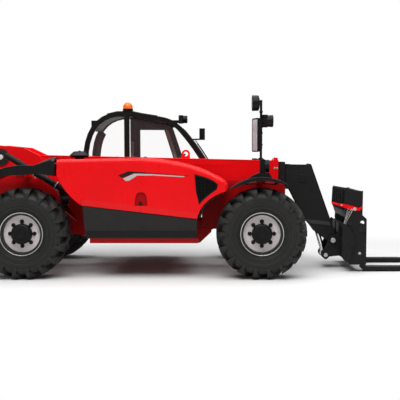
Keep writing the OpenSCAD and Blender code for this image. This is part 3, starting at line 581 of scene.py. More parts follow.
EDGE_WIDTHS = {
    "hood": 0.01, "fenders": 0.012, "side_panels": 0.005, "chassis": 0.004, "counterweight": 0.014,
    "cab_roof": 0.008, "cab_frame": 0.006, "cab_base": 0.006, "door": 0.006, "lamps": 0.01, "mirrors": 0.008,
    "outer_boom": 0.005, "middle_boom": 0.003, "inner_boom": 0.003, "carriage": 0.003, "coupler": 0.003,
    "forks": 0.003, "engine_block": 0.012, "lock_lever": 0.003,
}
for name, width in EDGE_WIDTHS.items():
    round_edges(nodes[name], width, 3, 35)


# Lamps

LAMP_Y = 0.785
HEAD_LAMP_Z, MAST_LAMP_Z = 1.2685, 1.775
TAIL_FRONT, TAIL_BACK = -2.961, -2.9665
TAIL_LOW, TAIL_HIGH = 0.906, 0.979


def lamp_front(lenses, rims, centre, radius):
    """Bulging lens, and the ring that holds it."""
    lenses.lathe(((radius * 0.93, -0.003), (radius * 0.93, 0.002), (radius * 0.8, 0.006),
                  (radius * 0.55, 0.01), (radius * 0.25, 0.012), (0, 0.0125)), centre, FORWARD, 48)
    rims.lathe(((radius * 0.92, -0.004), (radius * 0.92, 0.006), (radius * 0.97, 0.008),
                (radius * 1.02, 0.004), (radius * 1.02, -0.02), (radius * 1.005, -0.022)),
               centre, FORWARD, 48, True)


lenses, rims = Shape(), Shape()
for y in (-LAMP_Y, LAMP_Y):
    lamp_front(lenses, rims, (0.576, y, HEAD_LAMP_Z), 0.0695)
lamp_front(lenses, rims, (0.618, -LAMP_Y, MAST_LAMP_Z), 0.066)
lamp_front(lenses, rims, (-0.393, 0.52, 1.8525), 0.0485)
lenses.prism(mm([(330, 1748), (410, 1748), (410, 1822), (330, 1822)]), -1.6135, -1.6095, "x")
piece(lenses, "lamp_lenses", "machine", LENS)
piece(rims, "lamp_rims", "machine", PLASTIC_BLACK)

fins = Shape()
# place, half width and height of each housing
for x, y, z, half, tall in ((0.512, -LAMP_Y, HEAD_LAMP_Z, 0.052, 0.147),
                            (0.512, LAMP_Y, HEAD_LAMP_Z, 0.052, 0.147),
                            (0.532, -LAMP_Y, MAST_LAMP_Z, 0.058, 0.14)):
    for k in range(4):
        low = z - tall / 2 + 0.024 + k * 0.028
        fins.block((x - 0.024, y - half - 0.004, low), (x + 0.022, y + half + 0.004, low + 0.009))
piece(fins, "lamp_fins", "machine", PLASTIC_BLACK, 0.0015)

for name, near, far, material in (("tail_lenses_red", 0.476, 0.54, LENS_RED),
                                  ("tail_lenses_amber", 0.544, 0.584, LENS_AMBER)):
    lens = Shape().block((TAIL_BACK, near, TAIL_LOW), (TAIL_FRONT, far, TAIL_HIGH))
    piece(lens.mirrored(), name, "machine", material, 0.0015)


# Mirrors

MAST_X = 0.49
ROUND_MIRROR = (0.398, -LAMP_Y, 1.976)
MIRROR_TURN = Matrix.Translation((MAST_X, -LAMP_Y, 0)) @ Matrix.Rotation(math.radians(14), 4, "Z")


def case_ring(level, half, low, high, corner=0.022):
    """Outline of the tall mirror's case at a distance from the mast."""
    return [(level, y, z) for y, z in rounded((-half, low), (half, high), corner)]


panes = Shape().loft([case_ring(level, 0.094, 1.442, 1.793) for level in (-0.0716, -0.0698)])
panes.moved(MIRROR_TURN)
panes.lathe(mm(((78, -1), (78, 1), (60, 5), (30, 8), (0, 9))), ROUND_MIRROR, BACKWARD)
panes.prism(rounded((0.828, 1.603), (0.972, 1.736), 0.022), -0.2358, -0.2338, "x")
piece(panes, "mirror_panes", "machine", MIRROR)
shells = Shape()
shells.loft([case_ring(-0.0745, 0.107, 1.428, 1.807, 0.03), case_ring(-0.0745, 0.095, 1.44, 1.795),
             case_ring(-0.07, 0.095, 1.44, 1.795), case_ring(-0.065, 0.107, 1.428, 1.807, 0.03)], True)
shells.loft([case_ring(level, 0.105 - inset, 1.43 + inset, 1.805 - inset, 0.028)
             for level, inset in ((-0.0215, 0.0), (-0.014, 0.012), (-0.006, 0.04))])
shells.moved(MIRROR_TURN)
shells.lathe(mm(((88.5, -5), (88.5, 10), (80, 11), (78.5, 2))), ROUND_MIRROR, BACKWARD, 48, True)
shells.lathe(mm(((87, -56), (80, -66), (50, -74), (20, -77), (0, -77))), ROUND_MIRROR, BACKWARD)
piece(shells, "mirror_shells", "machine", PLASTIC_BLACK)
mast = Shape()
for z in (1.352, 1.51, 1.64, 1.71, 1.88):
    mast.lathe(mm(((13.5, -12), (20, -10), (20, 10), (13.5, 12))), (MAST_X, -LAMP_Y, z), UP, 28, True)
mast.lathe(mm(((13.5, 1990), (16, 2000), (16, 2006), (8, 2012), (0, 2012))), (MAST_X, -LAMP_Y, 0), UP, 28)
mast.block((0.478, -LAMP_Y - 0.016, 1.752), (0.53, -LAMP_Y + 0.016, 1.798))
mast.lathe(mm(((40, 1340), (40, 1346), (26, 1356), (14, 1366))), (MAST_X, -LAMP_Y, 0), UP, 32, True)
piece(mast, "mirror_clamps", "machine", PLASTIC_BLACK, 0.0015)


# Fenders, frame and rear

FRONT_LIP = bend((139, 1014), (444, 1249), (774, 1064), 16)
REAR_LIP = bend((-2700, 1077), (-2420, 1287), (-2120, 1273), 14) + [(-2051, 1270), (-1852, 1334)]
lips = Shape()
for curve, out in ((FRONT_LIP, 0.976), (REAR_LIP, 0.946)):
    lips.tube(upright(curve, out), 0.0085, 10)
piece(lips.mirrored(), "fender_lips", "machine", PLASTIC_BLACK)

STRUT_Z = 1.061
struts = Shape()
struts.tube(mm([(352, 760, 1100), (318, 700, 1064), (330, 560, 1056), (470, 470, 1060)]), 0.012)
struts.tube(mm([(655, 760, 1094), (690, 700, 1066), (660, 560, 1056), (540, 470, 1060)]), 0.012)
for x in (0.455, 0.545):
    for y in (0.62, 0.64):
        struts.bolt((x, y, STRUT_Z), DOWN, 0.01, 0.008)
piece(struts.mirrored(), "fender_struts", "machine", CAST_DARK)

DUCT_STEPS, DUCT_SIDES = 8, 24
DUCT_Y, DUCT_HALF = -0.775, 0.15


def duct_ring(t):
    """One section of the duct, from its thin rear end at 0 to its front at 1."""
    tall = 0.01 + 0.04 * math.sin(t * math.pi * 0.62)
    return [(-2.055 + 0.235 * t, DUCT_Y + DUCT_HALF * math.cos(a), 1.27 + 0.052 * t + tall * math.sin(a))
            for a in full_turn(DUCT_SIDES)]


duct = Shape().loft([duct_ring(k / DUCT_STEPS) for k in range(DUCT_STEPS + 1)])
piece(duct, "intake_duct", "machine", CAB_BLACK)

PIPE_Y = -0.4425
pipe_low, pipe_high = Vector((-1.742, PIPE_Y, 0.934)), Vector((-2.493, PIPE_Y, 1.392))
pipe_line = (pipe_high - pipe_low).normalized()
pipe_clamps = Shape()
for reach in (0.19, 0.48):
    spot = pipe_low + pipe_line * reach
    pipe_clamps.lathe(mm(((45.5, -8), (48.5, -7), (48.5, 7), (45.5, 8))), spot, pipe_line, 40, True)
    pipe_clamps.block((spot.x - 0.008, PIPE_Y - 0.01, spot.z - 0.066),
                      (spot.x + 0.008, PIPE_Y + 0.01, spot.z - 0.042))
piece(pipe_clamps, "exhaust_clamps", "machine", PIN_STEEL, 0.001)

# painted shade: the belly plates are in a darker red, as they sit in shade under the machine
belly = Shape().prism(mm([(-480, 332), (-208, 332), (-70, 462), (-70, 520), (-480, 520)]), -0.2875, -0.262)
piece(belly.mirrored(), "belly_plates", "machine", RED_IN_SHADE, 0.004)

RAIL_Y, SILL_Y, PANEL_Y = -0.285, -0.9, -0.905
RAIL_BOLTS = ((-0.199, 0.479), (-0.12, 0.56), (-0.205, 0.56), (0.06, 0.56), (0.1, 0.93), (0.3, 1.04),
              (-1.76, 0.52), (-1.86, 0.56), (0.78, 0.6), (0.78, 0.76))
frame_bolts = Shape()
for x, z in RAIL_BOLTS:
    frame_bolts.bolt((x, RAIL_Y, z), RIGHTWARD, 0.009, 0.008)
for x in (-1.3, -0.621, -0.269):
    frame_bolts.bolt((x, SILL_Y, 0.43), RIGHTWARD, 0.007, 0.006)
frame_bolts.mirrored()
for x in (-1.44, -0.86, -0.3):
    frame_bolts.bolt((x, PANEL_Y, 0.565), RIGHTWARD, 0.007, 0.005)
piece(frame_bolts, "frame_bolts", "machine", CAST_DARK)

# painted shade: a thin black strip on the side panel's lower edge, where the panel lies in shade
shade_strip = Shape().prism(mm([(-1466, 482), (-1478, 546), (-236, 546), (-236, 482)]), -0.9068, -0.904)
piece(shade_strip, "panel_shade_strip", "machine", CAB_BLACK, 0.001)

# caps of the boom's pivot, by their distance from the machine's middle
BOOM_PIVOT = pins["boom_lift"]
PIVOT_FACE, CAP_FACE = 0.2485, 0.256
CAP_BOLTS, CAP_CIRCLE = 6, 0.058


def pivot_plate(radius, low, high):
    return Shape().lathe(((radius, low), (radius, high - 0.003), (radius - 0.003, high), (0, high)),
                         BOOM_PIVOT, RIGHTWARD)


caps = pivot_plate(0.083, PIVOT_FACE, CAP_FACE)
for angle in full_turn(CAP_BOLTS, 0.5):
    spot = Vector((CAP_CIRCLE * math.cos(angle), -CAP_FACE, CAP_CIRCLE * math.sin(angle)))
    caps.bolt(Vector(BOOM_PIVOT) + spot, RIGHTWARD, 0.01, 0.008)
piece(caps.mirrored(), "pivot_caps", "machine", TRIM)
piece(pivot_plate(0.03, 0.255, 0.266).mirrored(), "pivot_ends", "machine", RIM_GREY)
pivot_rings = Shape().lathe(((0.085, PIVOT_FACE), (0.085, 0.253), (0.1, 0.253), (0.1, 0.2352)), BOOM_PIVOT,
                            RIGHTWARD, 48, True)
piece(pivot_rings.mirrored(), "pivot_rings", "machine", TRIM)

CLEVIS_REACH = 0.042
weight_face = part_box("counterweight")[0][0] + CLEVIS_REACH
weight_bolts = Shape()
for y in (-0.2, 0.2):
    for z in (0.62, 0.82):
        weight_bolts.bolt((weight_face, y, z), BACKWARD, 0.018, 0.014)
piece(weight_bolts, "weight_bolts", "machine", CAST_DARK)

treads = Shape()
for x in range(-985, -655, 30):
    treads.prism(mm([(x, 862), (x + 8, 862), (x + 26, 950), (x + 18, 950)]), 0.3495, 0.3545, "z")
piece(treads, "step_treads", "machine", STEEL)


# Cab

BEACON_X, BEACON_Y = -1.138, 0.3
AT_BEACON = Matrix.Translation((BEACON_X, BEACON_Y, 0))
base = Shape().lathe(mm(((48, 1949), (63, 1950.5), (66, 1974), (62.5, 1979), (60.5, 1976.5))), ORIGIN, UP,
                     40, True)
base.prism(rounded((-0.07, -0.052), (0.07, 0.052), 0.015), 1.9345, 1.9512, "z")
piece(base.moved(AT_BEACON), "beacon_base", "machine", PLASTIC_BLACK)
flutes = around(Shape().block((0.056, -0.002, 1.981), (0.0605, 0.002, 2.02)), 20)
piece(flutes.moved(AT_BEACON), "beacon_flutes", "machine", BEACON_ORANGE)

roof = Shape()
for y in (0.27, 0.85):
    roof.tube(upright([(-1400, 1907), (-1270, 1937), (-1070, 1937), (-946, 1911), (-760, 1883)], y), 0.011)
for k in range(5):
    roof.tube(upright([(-1240, 1936), (-1080, 1936)], 0.4 + 0.08 * k), 0.005, 10)
piece(roof, "roof_ribs", "machine", CAB_BLACK)

SCREEN = bend((-436, 1727), (-230, 1490), (-95, 1240), 12)
WIPER_FOOT = (-0.17, 0.5, 0.985)
seal = Shape()
for y in (0.26, 0.86):
    seal.tube(upright([(x + 1, z) for x, z in SCREEN], y), 0.007, 10)
piece(seal, "screen_seals", "machine", TRIM)
wiper = Shape()
wiper.tube([((x + 26) * MM, 0.56 - 0.012 * i, (z + 12) * MM) for i, (x, z) in enumerate(SCREEN[4:12])],
           0.006, 10)
wiper.tube([WIPER_FOOT, (-0.12, 0.5, 0.998), (-0.074, 0.5, 1.11), (-0.07, 0.5, 1.235)]
           + upright([(x + 22, z + 10) for x, z in reversed(SCREEN[5:11])], 0.51), 0.007, 8)
wiper.lathe(mm(((24, -30), (24, 10), (14, 20), (0, 20))), WIPER_FOOT, FORWARD, 24)
piece(wiper, "wiper", "machine", PLASTIC_BLACK)

rails = Shape()
rails.tube([(-0.33, 0.93, 0.86), (-0.338, 0.965, 0.884), (-0.438, 0.965, 1.18), (-0.45, 0.93, 1.205)], 0.011)
rails.tube([(-1.16, 0.93, 0.78), (-1.16, 0.958, 0.804), (-1.16, 0.958, 0.966), (-1.16, 0.93, 0.99)], 0.011)
piece(rails, "grab_rails", "machine", STEEL)

DOOR_Y = 0.93
LOCK_X, LOCK_Z = -0.494, 1.13
lock = Shape().prism(rounded((LOCK_X - 0.024, LOCK_Z - 0.04), (LOCK_X + 0.024, LOCK_Z + 0.04), 0.012),
                     DOOR_Y - 0.001, DOOR_Y + 0.01)
lock.lathe(mm(((13, 9), (13, 15), (10, 17), (3, 17), (3, 13), (0, 13))), (LOCK_X, DOOR_Y, LOCK_Z),
           LEFTWARD, 24)
piece(lock, "door_lock", "door", PLASTIC_BLACK, 0.002)

UPPER_PANE = [(-1050, 1010), (-1050, 1730), (-708, 1730), (-555, 1250), (-492, 1010)]
LOWER_PANE = [(-1050, 710), (-1050, 950), (-482, 950), (-462, 710)]
door_seals = Shape()
for edge in (UPPER_PANE, LOWER_PANE):
    for level in (DOOR_Y, DOOR_Y - 0.05):
        door_seals.tube(upright(edge + edge[:1], level), 0.007, 8)
piece(door_seals, "door_seals", "door", TRIM)


def grown(points, by):
    """Moves each side of a clockwise outline outwards."""
    out = []
    for k, (x, z) in enumerate(points):
        before, after = points[k - 1], points[(k + 1) % len(points)]
        first = Vector((x - before[0], z - before[1])).normalized()
        second = Vector((after[0] - x, after[1] - z)).normalized()
        tilt = (Vector((-first.y, first.x)) + Vector((-second.y, second.x))).normalized()
        reach = by / tilt.dot(Vector((-first.y, first.x)))
        out.append((x + tilt.x * reach, z + tilt.y * reach))
    return out


DOOR_HOLE = [(-1110, 650), (-1110, 1790), (-660, 1790), (-490, 1255), (-420, 1000), (-400, 650)]
# how far each edge of the seal lies outside the hole, and its place across the machine
FRAME_SEAL = ((16, 0.8805), (16, 0.866), (-13, 0.866), (-13, 0.8745), (4, 0.8745), (4, 0.8805))
frame_seal = Shape().loft([upright(grown(DOOR_HOLE, by), level) for by, level in FRAME_SEAL], True)
piece(frame_seal, "door_frame_seal", "machine", TRIM, 0.001)

# lining on the inner faces of the far posts
LINING_IN, DOOR_LINING_IN, LINING_OUT = 0.8735, 0.8745, 0.8805
lining = Shape().block((-1.172, LINING_IN, 1.01), (-1.122, LINING_OUT, 1.575))
piece(lining, "post_lining", "machine", PALE_TRIM, 0.002)
rear_edge = ([(-1640, 1010)] + bend((-1645, 1300), (-1642, 1561), (-1549, 1706))
             + bend((-1505, 1664), (-1583, 1530), (-1585, 1300)) + [(-1580, 1010)])
piece(Shape().prism(mm(rear_edge), LINING_IN, LINING_OUT), "rear_post_lining", "machine", BAND_GREY, 0.002)
front_edge = [(-700, 1728), (-655, 1728), (-503, 1255), (-440, 1020), (-488, 1020), (-550, 1250)]
piece(Shape().prism(mm(front_edge), DOOR_LINING_IN, LINING_OUT), "door_lining", "door", PALE_TRIM, 0.0015)


# Seat

PAD_CORNER, PAD_STEPS = 0.05, 8
VOXEL, QUICK_VOXEL = 0.009, 0.012
PRESSURE = 4.0
CLOTH_FRAMES = 20
SWELL_CAP = 0.016


def pad_block(low, high, lean=0.0, taper=0.0):
    """A pad's start: a box with rounded plan corners, leaning back as it rises."""
    (x0, y0, z0), (x1, y1, z1) = low, high
    plan = rounded((x0, y0), (x1, y1), PAD_CORNER, 4)
    mid = (y0 + y1) / 2
    rings = []
    for k in range(PAD_STEPS + 1):
        t = k / PAD_STEPS
        rings.append([(x + lean * t, mid + (y - mid) * (1 - taper * t), z0 + (z1 - z0) * t) for x, y in plan])
    return Shape().loft(rings)


def apply_modifiers(thing):
    bpy.context.view_layer.update()
    shown = thing.evaluated_get(bpy.context.evaluated_depsgraph_get())
    mesh = bpy.data.meshes.new_from_object(shown)
    thing.modifiers.clear()
    old = thing.data
    thing.data = mesh
    bpy.data.meshes.remove(old)


def inflate(thing):
    """Swells a pad by cloth pressure, with no point moving further than the cap."""
    remesh = thing.modifiers.new("even_mesh", "REMESH")
    remesh.mode = "VOXEL"
    remesh.voxel_size = VOXEL
    apply_modifiers(thing)
    start = [v.co.copy() for v in thing.data.vertices]
    cloth = thing.modifiers.new("pressure", "CLOTH")
    cloth.settings.use_pressure = True
    cloth.settings.uniform_pressure_force = PRESSURE
    cloth.settings.effector_weights.gravity = 0.0
    cloth.point_cache.frame_start = 1
    cloth.point_cache.frame_end = CLOTH_FRAMES
    for number in range(1, CLOTH_FRAMES + 1):
        scene.frame_set(number)
    apply_modifiers(thing)
    scene.frame_set(1)
    for vertex, before in zip(thing.data.vertices, start):
        step = vertex.co - before
        if step.length > SWELL_CAP:
            vertex.co = before + step.normalized() * SWELL_CAP


SEAM_WIDTH = 0.006


def cushion(shape, name, push, seams):
    """A padded piece with sewn grooves (axis, place, depth) pressed into its face."""
    thing = mesh_object(shape, name, SEAT_CLOTH)
    inflate(thing)
    for vertex in thing.data.vertices:
        for axis, place, depth in seams:
            gap = abs(vertex.co[axis] - place)
            if gap < 3 * SEAM_WIDTH:
                vertex.co += Vector(push) * depth * math.exp(-(gap / SEAM_WIDTH) ** 2)
    smooth = thing.modifiers.new("even", "SUBSURF")
    smooth.levels = 1
    smooth.render_levels = 1
    thing.data.shade_smooth()
    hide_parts("seat")
    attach(thing, "machine")


cushion(pad_block((-1.33, 0.385, 0.85), (-0.912, 0.775, 0.936)), "seat_cushion", DOWN,
        ((1, 0.46, 0.01), (1, 0.7, 0.01), (0, -1.12, 0.007)))
cushion(pad_block((-1.36, 0.405, 0.952), (-1.262, 0.755, 1.375), -0.03, 0.1), "seat_back", BACKWARD,
        ((1, 0.47, 0.009), (1, 0.69, 0.009), (2, 1.18, 0.007)))

# bellows, plates and post under the cushion
SEAT_X, SEAT_Y = -1.16, 0.58
FOLD_COUNT, FOLD_STEP, FOLD_DEPTH = 13, 0.012, 0.014


def fold_ring(k):
    out = 0.0 if k % 2 else FOLD_DEPTH
    half_x, half_y, z = 0.13 + out, 0.12 + out, 0.695 + FOLD_STEP * k
    return [(SEAT_X + a * half_x, SEAT_Y + b * half_y, z) for a, b in ((-1, -1), (1, -1), (1, 1), (-1, 1))]


stand = Shape().loft([fold_ring(k) for k in range(FOLD_COUNT)])
stand.block((-1.308, 0.442, 0.65), (-1.012, 0.718, 0.7))
stand.block((-1.32, 0.42, 0.836), (-0.98, 0.74, 0.856))
stand.tube([(-1.33, 0.56, 0.85), (-1.385, 0.56, 0.87), (-1.392, 0.56, 0.96), (-1.392, 0.56, 1.2)], 0.016)
for y in (0.44, 0.72):
    stand.tube([(-0.985, y, 0.846), (-0.935, y, 0.846)], 0.012, 10)
stand.lathe(mm(((20, 0), (20, 18), (16, 24), (0, 24))), (-1.0, 0.718, 0.675), LEFTWARD, 20)
stool = piece(stand, "seat_stand", "machine", TRIM, 0.003)
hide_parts("seat")

DISPLAY_X, DISPLAY_Y = -0.33, 0.42
dash = Shape().prism(rounded((DISPLAY_Y - 0.11, 1.178), (DISPLAY_Y + 0.11, 1.268), 0.014),
                     DISPLAY_X - 0.012, DISPLAY_X + 0.012, "x")
dash.tube([(DISPLAY_X, DISPLAY_Y, 1.15), (DISPLAY_X, DISPLAY_Y, 1.19)], 0.018)
for k in range(5):
    dash.lathe(mm(((14, 0), (14, 8), (11, 10), (0, 10))), (-0.432 + 0.0055 * k, 0.66 + 0.026 * k, 1.118),
               (-0.92, 0, 0.39), 18)
for y in (0.47, 0.6):
    dash.prism([(-0.47, 0.72), (-0.446, 0.716), (-0.42, 0.8), (-0.44, 0.806)], y - 0.035, y + 0.035)
    dash.tube([(-0.425, y, 0.8), (-0.395, y, 0.86)], 0.01, 10)
piece(dash, "dash_display_pedals", "machine", TRIM, 0.002)
STICK = (-0.92, 0.305, 0)
stick = Shape().lathe(mm(((26, 1300), (32, 1315), (33, 1345), (26, 1362), (10, 1368), (0, 1368))), STICK,
                      UP, 28)
stick.lathe(mm(((40, 1128), (36, 1150), (24, 1158), (28, 1166), (18, 1176), (21, 1184), (13, 1196))),
            STICK, UP, 28)
piece(stick, "stick_boot", "machine", PLASTIC_BLACK)


# Boom, with the head's plates in the machine's frame and the rest along the boom

HEAD_Y = 0.125
HEAD_PIN = pins["tilt_barrel_swing"]
bosses = Shape()
bosses.lathe(mm(((50, 130), (50, 136.5), (46, 138.5), (36, 138.5), (34, 135))), HEAD_PIN, RIGHTWARD, 40,
             True)
for z in (0.937, 0.977):
    bosses.lathe(mm(((11, 124), (11, 129), (7, 129), (6, 124))), (1.163, 0, z), RIGHTWARD, 20, True)
piece(bosses.mirrored(), "head_bosses", "boom_inner", BOOM_BLACK)
# the folded plate on each cheek, drawn flat; its lighter grey is a painted highlight of the bend
band_highlights = Shape().prism(mm([(1098, 600), (1384, 570), (1402, 524), (1138, 552)]),
                      -HEAD_Y - 0.004, -HEAD_Y + 0.001)
piece(band_highlights.mirrored(), "head_band_highlights", "boom_inner", BAND_GREY, 0.002)
edges = Shape()
edges.tube(upright([(1141, 1281), (1151, 1268), (1381, 626), (1441, 470)], -HEAD_Y), 0.005, 8)
edges.tube(upright([(842, 1271), (1114, 1266), (1139, 1281)], -HEAD_Y), 0.004, 8)
piece(edges.mirrored(), "head_welds", "boom_inner", BOOM_BLACK)

SLOPE = math.radians(1.3)
AT_BOOM = Matrix.Translation(BOOM_PIVOT) @ Matrix.Rotation(SLOPE, 4, "Y")
BEAM_Y, COLLAR_Y, EAR_Y = 0.15, 0.158, 0.136
SCREW_Y, SCREW_TOP = 0.1585, 0.0375
screws = Shape()
for x in (3.316, 3.344):
    for y in (-0.09, 0.09):
        screws.bolt((x, y, SCREW_TOP), UP, 0.01, 0.012)
    for z in (-0.06, -0.21):
        screws.bolt((x, -SCREW_Y, z), RIGHTWARD, 0.01, 0.01)
        screws.bolt((x, SCREW_Y, z), LEFTWARD, 0.01, 0.01)
piece(screws.moved(AT_BOOM), "pad_screws", "boom_outer", STEEL)
beads = Shape()
for s in (RIGHT, LEFT):
    beads.tube([(0.26, s * BEAM_Y, 0.0275), (3.29, s * BEAM_Y, 0.0275)], 0.0045, 8)
    beads.tube([(0.52, s * BEAM_Y, -0.3105), (3.29, s * BEAM_Y, -0.3105)], 0.0045, 8)
    beads.tube([(3.3, s * BEAM_Y, 0.037), (3.3, s * COLLAR_Y, 0.0285), (3.3, s * COLLAR_Y, -0.312)],
               0.0035, 8)
piece(beads.moved(AT_BOOM), "boom_welds", "boom_outer", PAINT_RED)
ears = Shape()
for s in (RIGHT, LEFT):
    ears.prism(mm([(3300, 36), (3356, 36), (3352, 62), (3336, 70), (3318, 62)]), s * 0.118, s * EAR_Y)
ears.tube([(3.334, -EAR_Y, 0.052), (3.334, EAR_Y, 0.052)], 0.007)
piece(ears.moved(AT_BOOM), "boom_collar_ears", "boom_outer", PAINT_RED, 0.002)
PAD_BACK, PAD_FRONT, PAD_Y = 3.384, 3.43, 0.143
pads = Shape()
for z in (-0.075, -0.205):
    pads.block((PAD_BACK, -PAD_Y, z - 0.03), (PAD_FRONT, -0.13, z + 0.03))
    pads.bolt(((PAD_BACK + PAD_FRONT) / 2, -PAD_Y, z), RIGHTWARD, 0.009, 0.008)
pads.mirrored()
pads.block((PAD_BACK, -0.07, 0.0065), (PAD_FRONT, 0.07, 0.0175))
piece(pads.moved(AT_BOOM), "middle_pads", "boom_middle", BOOM_BLACK, 0.0015)

TILT_EYE = (1.335, 0, 0.165)
# each cylinder's foot, rod eye, outer radius and reach of the barrel's end
CYLINDERS = {"lift": (pins["lift_barrel_swing"], (-0.9, 0, 0.96), 0.071, 1.118),
             "tilt": (HEAD_PIN, TILT_EYE, 0.058, 0.583)}
for name, (foot, eye, radius, reach) in CYLINDERS.items():
    foot = Vector(foot)
    way = (Vector(eye) - foot).normalized()
    gland = Shape().lathe(((radius - 0.012, 0.0), (radius, 0.002), (radius, 0.022), (radius - 0.004, 0.026),
                           (radius - 0.004, 0.036), (radius - 0.014, 0.04)), foot + way * (reach - 0.01), way,
                          40, True)
    gland.lathe(mm(((16, 0), (16, 22), (12, 26), (0, 26))),
                foot + way * 0.16 + Vector((0, -radius + 0.008, 0)), RIGHTWARD, 20)
    piece(gland, name + "_gland", name + "_barrel", BOOM_BLACK)


# Coupler, carriage and forks

TOOL_PIN = pins["tool_tilt"]
TOOL_Y, KEEPER_Y = 0.176, 0.172
SIDE_Y, PLATE_Y = 0.458, 0.433
tool_pins, keepers = Shape(), Shape()
for (x, _, z), radius in ((TOOL_PIN, 0.0305), (TILT_EYE, 0.0245)):
    tool_pins.lathe(((radius, 0.166), (radius, TOOL_Y + 0.003), (radius - 0.003, TOOL_Y + 0.006),
                     (radius * 0.35, TOOL_Y + 0.006), (radius * 0.3, TOOL_Y + 0.004), (0, TOOL_Y + 0.004)),
                    (x, 0, z), RIGHTWARD, 36)
    keepers.block((x - 0.018, -KEEPER_Y, z - 0.052), (x + 0.018, -0.165, z - 0.028))
    keepers.bolt((x, -KEEPER_Y, z - 0.04), RIGHTWARD, 0.007, 0.006)
piece(tool_pins.mirrored(), "tool_pins", "tool", PIN_STEEL)
piece(keepers.mirrored(), "pin_keepers", "tool", BOOM_BLACK, 0.001)

tool_bolts = Shape()
for x, z, radius, level in ((1.61, 0.3, 0.01, SIDE_Y), (1.53, 0.2, 0.009, SIDE_Y),
                            (1.74, 0.18, 0.01, PLATE_Y), (1.755, 0.455, 0.01, PLATE_Y)):
    tool_bolts.bolt((x, -level, z), RIGHTWARD, radius, 0.01)
piece(tool_bolts.mirrored(), "tool_bolts", "tool", BOOM_BLACK)
lower_bolts = Shape().bolt((1.696, -PLATE_Y, 0.223), RIGHTWARD, 0.012, 0.01)
piece(lower_bolts.mirrored(), "lower_tool_bolts", "tool", PIN_STEEL)
bosses = Shape()
for x, z, radius, level in ((1.575, 0.592, 0.027, PLATE_Y), (1.717, 0.517, 0.036, PLATE_Y + 0.004),
                            (1.585, 0.33, 0.018, SIDE_Y)):
    bosses.lathe(((radius + 0.006, level - 0.002), (radius + 0.006, level + 0.006), (radius, level + 0.008),
                  (radius - 0.004, level + 0.002), (0, level + 0.001)), (x, 0, z), RIGHTWARD, 32)
piece(bosses.mirrored(), "carriage_bosses", "tool", CAST_DARK)
HOOK_EDGE = bend((1560, 545), (1648, 480), (1640, 330), 10) + bend((1640, 330), (1612, 240), (1575, 150))[1:]
hooks = Shape().tube(upright(HOOK_EDGE, -SIDE_Y), 0.005, 8)
piece(hooks.mirrored(), "hook_edges", "tool", BOOM_BLACK)

LEVER_Y = -0.445
COIL_TURNS, COIL_STEPS, COIL_RADIUS = 9, 90, 0.011


def coil_point(t):
    angle = 2 * math.pi * COIL_TURNS * t
    return (1.556 - 0.046 * t + COIL_RADIUS * math.cos(angle), LEVER_Y + COIL_RADIUS * math.sin(angle),
            0.768 - 0.19 * t)


rods = Shape().lathe(mm(((18, -4), (18, 6), (14, 9), (6, 9), (5, 6), (0, 6))), (1.63, LEVER_Y, 0.752),
                     RIGHTWARD, 28)
rods.lathe(mm(((9, -4), (9, 10), (6, 12), (0, 12))), (1.47, LEVER_Y, 0.8), RIGHTWARD, 20)
for shift in (0.0, 0.022):
    rods.tube([(1.612 - shift, LEVER_Y - 0.003, 0.754), (1.602 - shift, LEVER_Y - 0.006, 0.744),
               (1.53 - shift, LEVER_Y - 0.003, 0.596), (1.522 - shift, LEVER_Y, 0.57)], 0.0032, 8)
rods.tube([coil_point(k / COIL_STEPS) for k in range(COIL_STEPS + 1)], 0.0024, 6)
piece(rods, "lever_rods", "tool", PIN_STEEL)
grip = Shape().tube([(1.36, LEVER_Y + 0.006, 0.828), (1.42, LEVER_Y + 0.006, 0.808)], 0.013, 14)
piece(grip, "lever_grip", "tool", PAINT_RED)


# Stage, light and camera

WHITE = (1.0, 1.0, 1.0, 1.0)
FLOOR_COLOUR = (0.78, 0.78, 0.78, 1.0)
FLOOR_HALF, FLOOR_DROP = 60.0, 0.002
# distance at which the floor starts to turn into the white backdrop and ends it, with x counting less
FADE_NEAR, FADE_FAR = 2.2, 3.6
FADE_STRETCH = (0.62, 1.0, 0.0)
SKY_LEVEL, GLOSSY_LEVEL = 0.18, 0.38


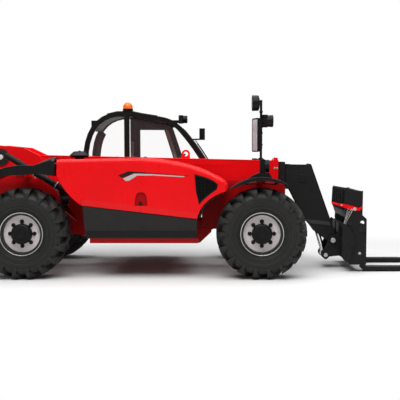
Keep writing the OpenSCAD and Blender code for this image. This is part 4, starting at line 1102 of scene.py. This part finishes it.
def stage_floor():
    """White floor that keeps the shadow near the machine and fades into the backdrop further out."""
    mesh = bpy.data.meshes.new("floor")
    points = [(a * FLOOR_HALF, b * FLOOR_HALF, 0) for a, b in ((-1, -1), (1, -1), (1, 1), (-1, 1))]
    mesh.from_pydata(points, [], [(0, 1, 2, 3)])
    floor = add_object("floor", mesh)
    floor.location.z = -FLOOR_DROP
    material, tree, shader = new_material("floor_white")
    feed(tree, shader, {"Base Color": FLOOR_COLOUR, "Roughness": 0.9, "Specular IOR Level": 0.0})
    place = add_node(tree, "TexCoord").outputs["Object"]
    flat = add_node(tree, "VectorMath", {0: place, 1: FADE_STRETCH}, operation="MULTIPLY")
    away = add_node(tree, "VectorMath", {0: flat.outputs["Vector"]}, operation="LENGTH")
    blend = span(tree, away.outputs["Value"], 0.0, 1.0, FADE_NEAR, FADE_FAR)
    ray = add_node(tree, "LightPath").outputs["Is Camera Ray"]
    seen = add_node(tree, "Math", {0: blend, 1: ray}, operation="MULTIPLY")
    white = add_node(tree, "Emission", {"Color": WHITE})
    mixed = add_node(tree, "MixShader", {"Fac": seen.outputs["Value"], 1: shader.outputs["BSDF"],
                                                   2: white.outputs["Emission"]})
    feed(tree, tree.nodes["Material Output"], {"Surface": mixed.outputs["Shader"]})
    mesh.materials.append(material)


def world_light():
    """White to the camera and through glass, dimmer as light and in reflections."""
    world = bpy.data.worlds.new("studio")
    scene.world = world
    world.use_nodes = True
    tree = world.node_tree
    path = add_node(tree, "LightPath")
    level = SKY_LEVEL
    for ray, strength in (("Is Glossy Ray", GLOSSY_LEVEL), ("Is Transmission Ray", 1.0),
                          ("Is Camera Ray", 1.0)):
        sockets = {"Value": path.outputs[ray], "To Min": level, "To Max": strength}
        level = add_node(tree, "MapRange", sockets).outputs["Result"]
    feed(tree, tree.nodes["Background"], {"Color": WHITE, "Strength": level})


def area_light(name, place, aim, size, power):
    lamp = bpy.data.lights.new(name, "AREA")
    lamp.shape = "RECTANGLE"
    lamp.size, lamp.size_y = size
    lamp.energy = power
    holder = add_object(name, lamp)
    holder.location = place
    holder.rotation_euler = (Vector(aim) - Vector(place)).to_track_quat("-Z", "Y").to_euler()


IMAGE_WIDTH = 400.0
FOCAL_PIXELS = 711.0
VANISHING_SHIFT = 12.0
CAMERA_PLACE = (-0.063, -8.845, 1.427)
CAMERA_PITCH = math.radians(3.86)


def photo_camera():
    lens = bpy.data.cameras.new("photo_camera")
    lens.sensor_width = 36.0
    lens.lens = FOCAL_PIXELS / IMAGE_WIDTH * lens.sensor_width
    lens.shift_x = -VANISHING_SHIFT / IMAGE_WIDTH
    camera = add_object("photo_camera", lens)
    camera.location = CAMERA_PLACE
    camera.rotation_euler = (math.pi / 2 - CAMERA_PITCH, 0.0, 0.0)
    scene.camera = camera


stage_floor()
world_light()
area_light("overhead", (0.0, -0.5, 7.0), (0.0, -0.3, 0.0), (11.0, 8.0), 780.0)
area_light("camera_side", (-1.2, -6.2, 7.6), (-0.3, 0.0, 0.8), (7.0, 3.0), 390.0)
photo_camera()
scene.view_settings.view_transform = "Standard"

bpy.context.view_layer.update()
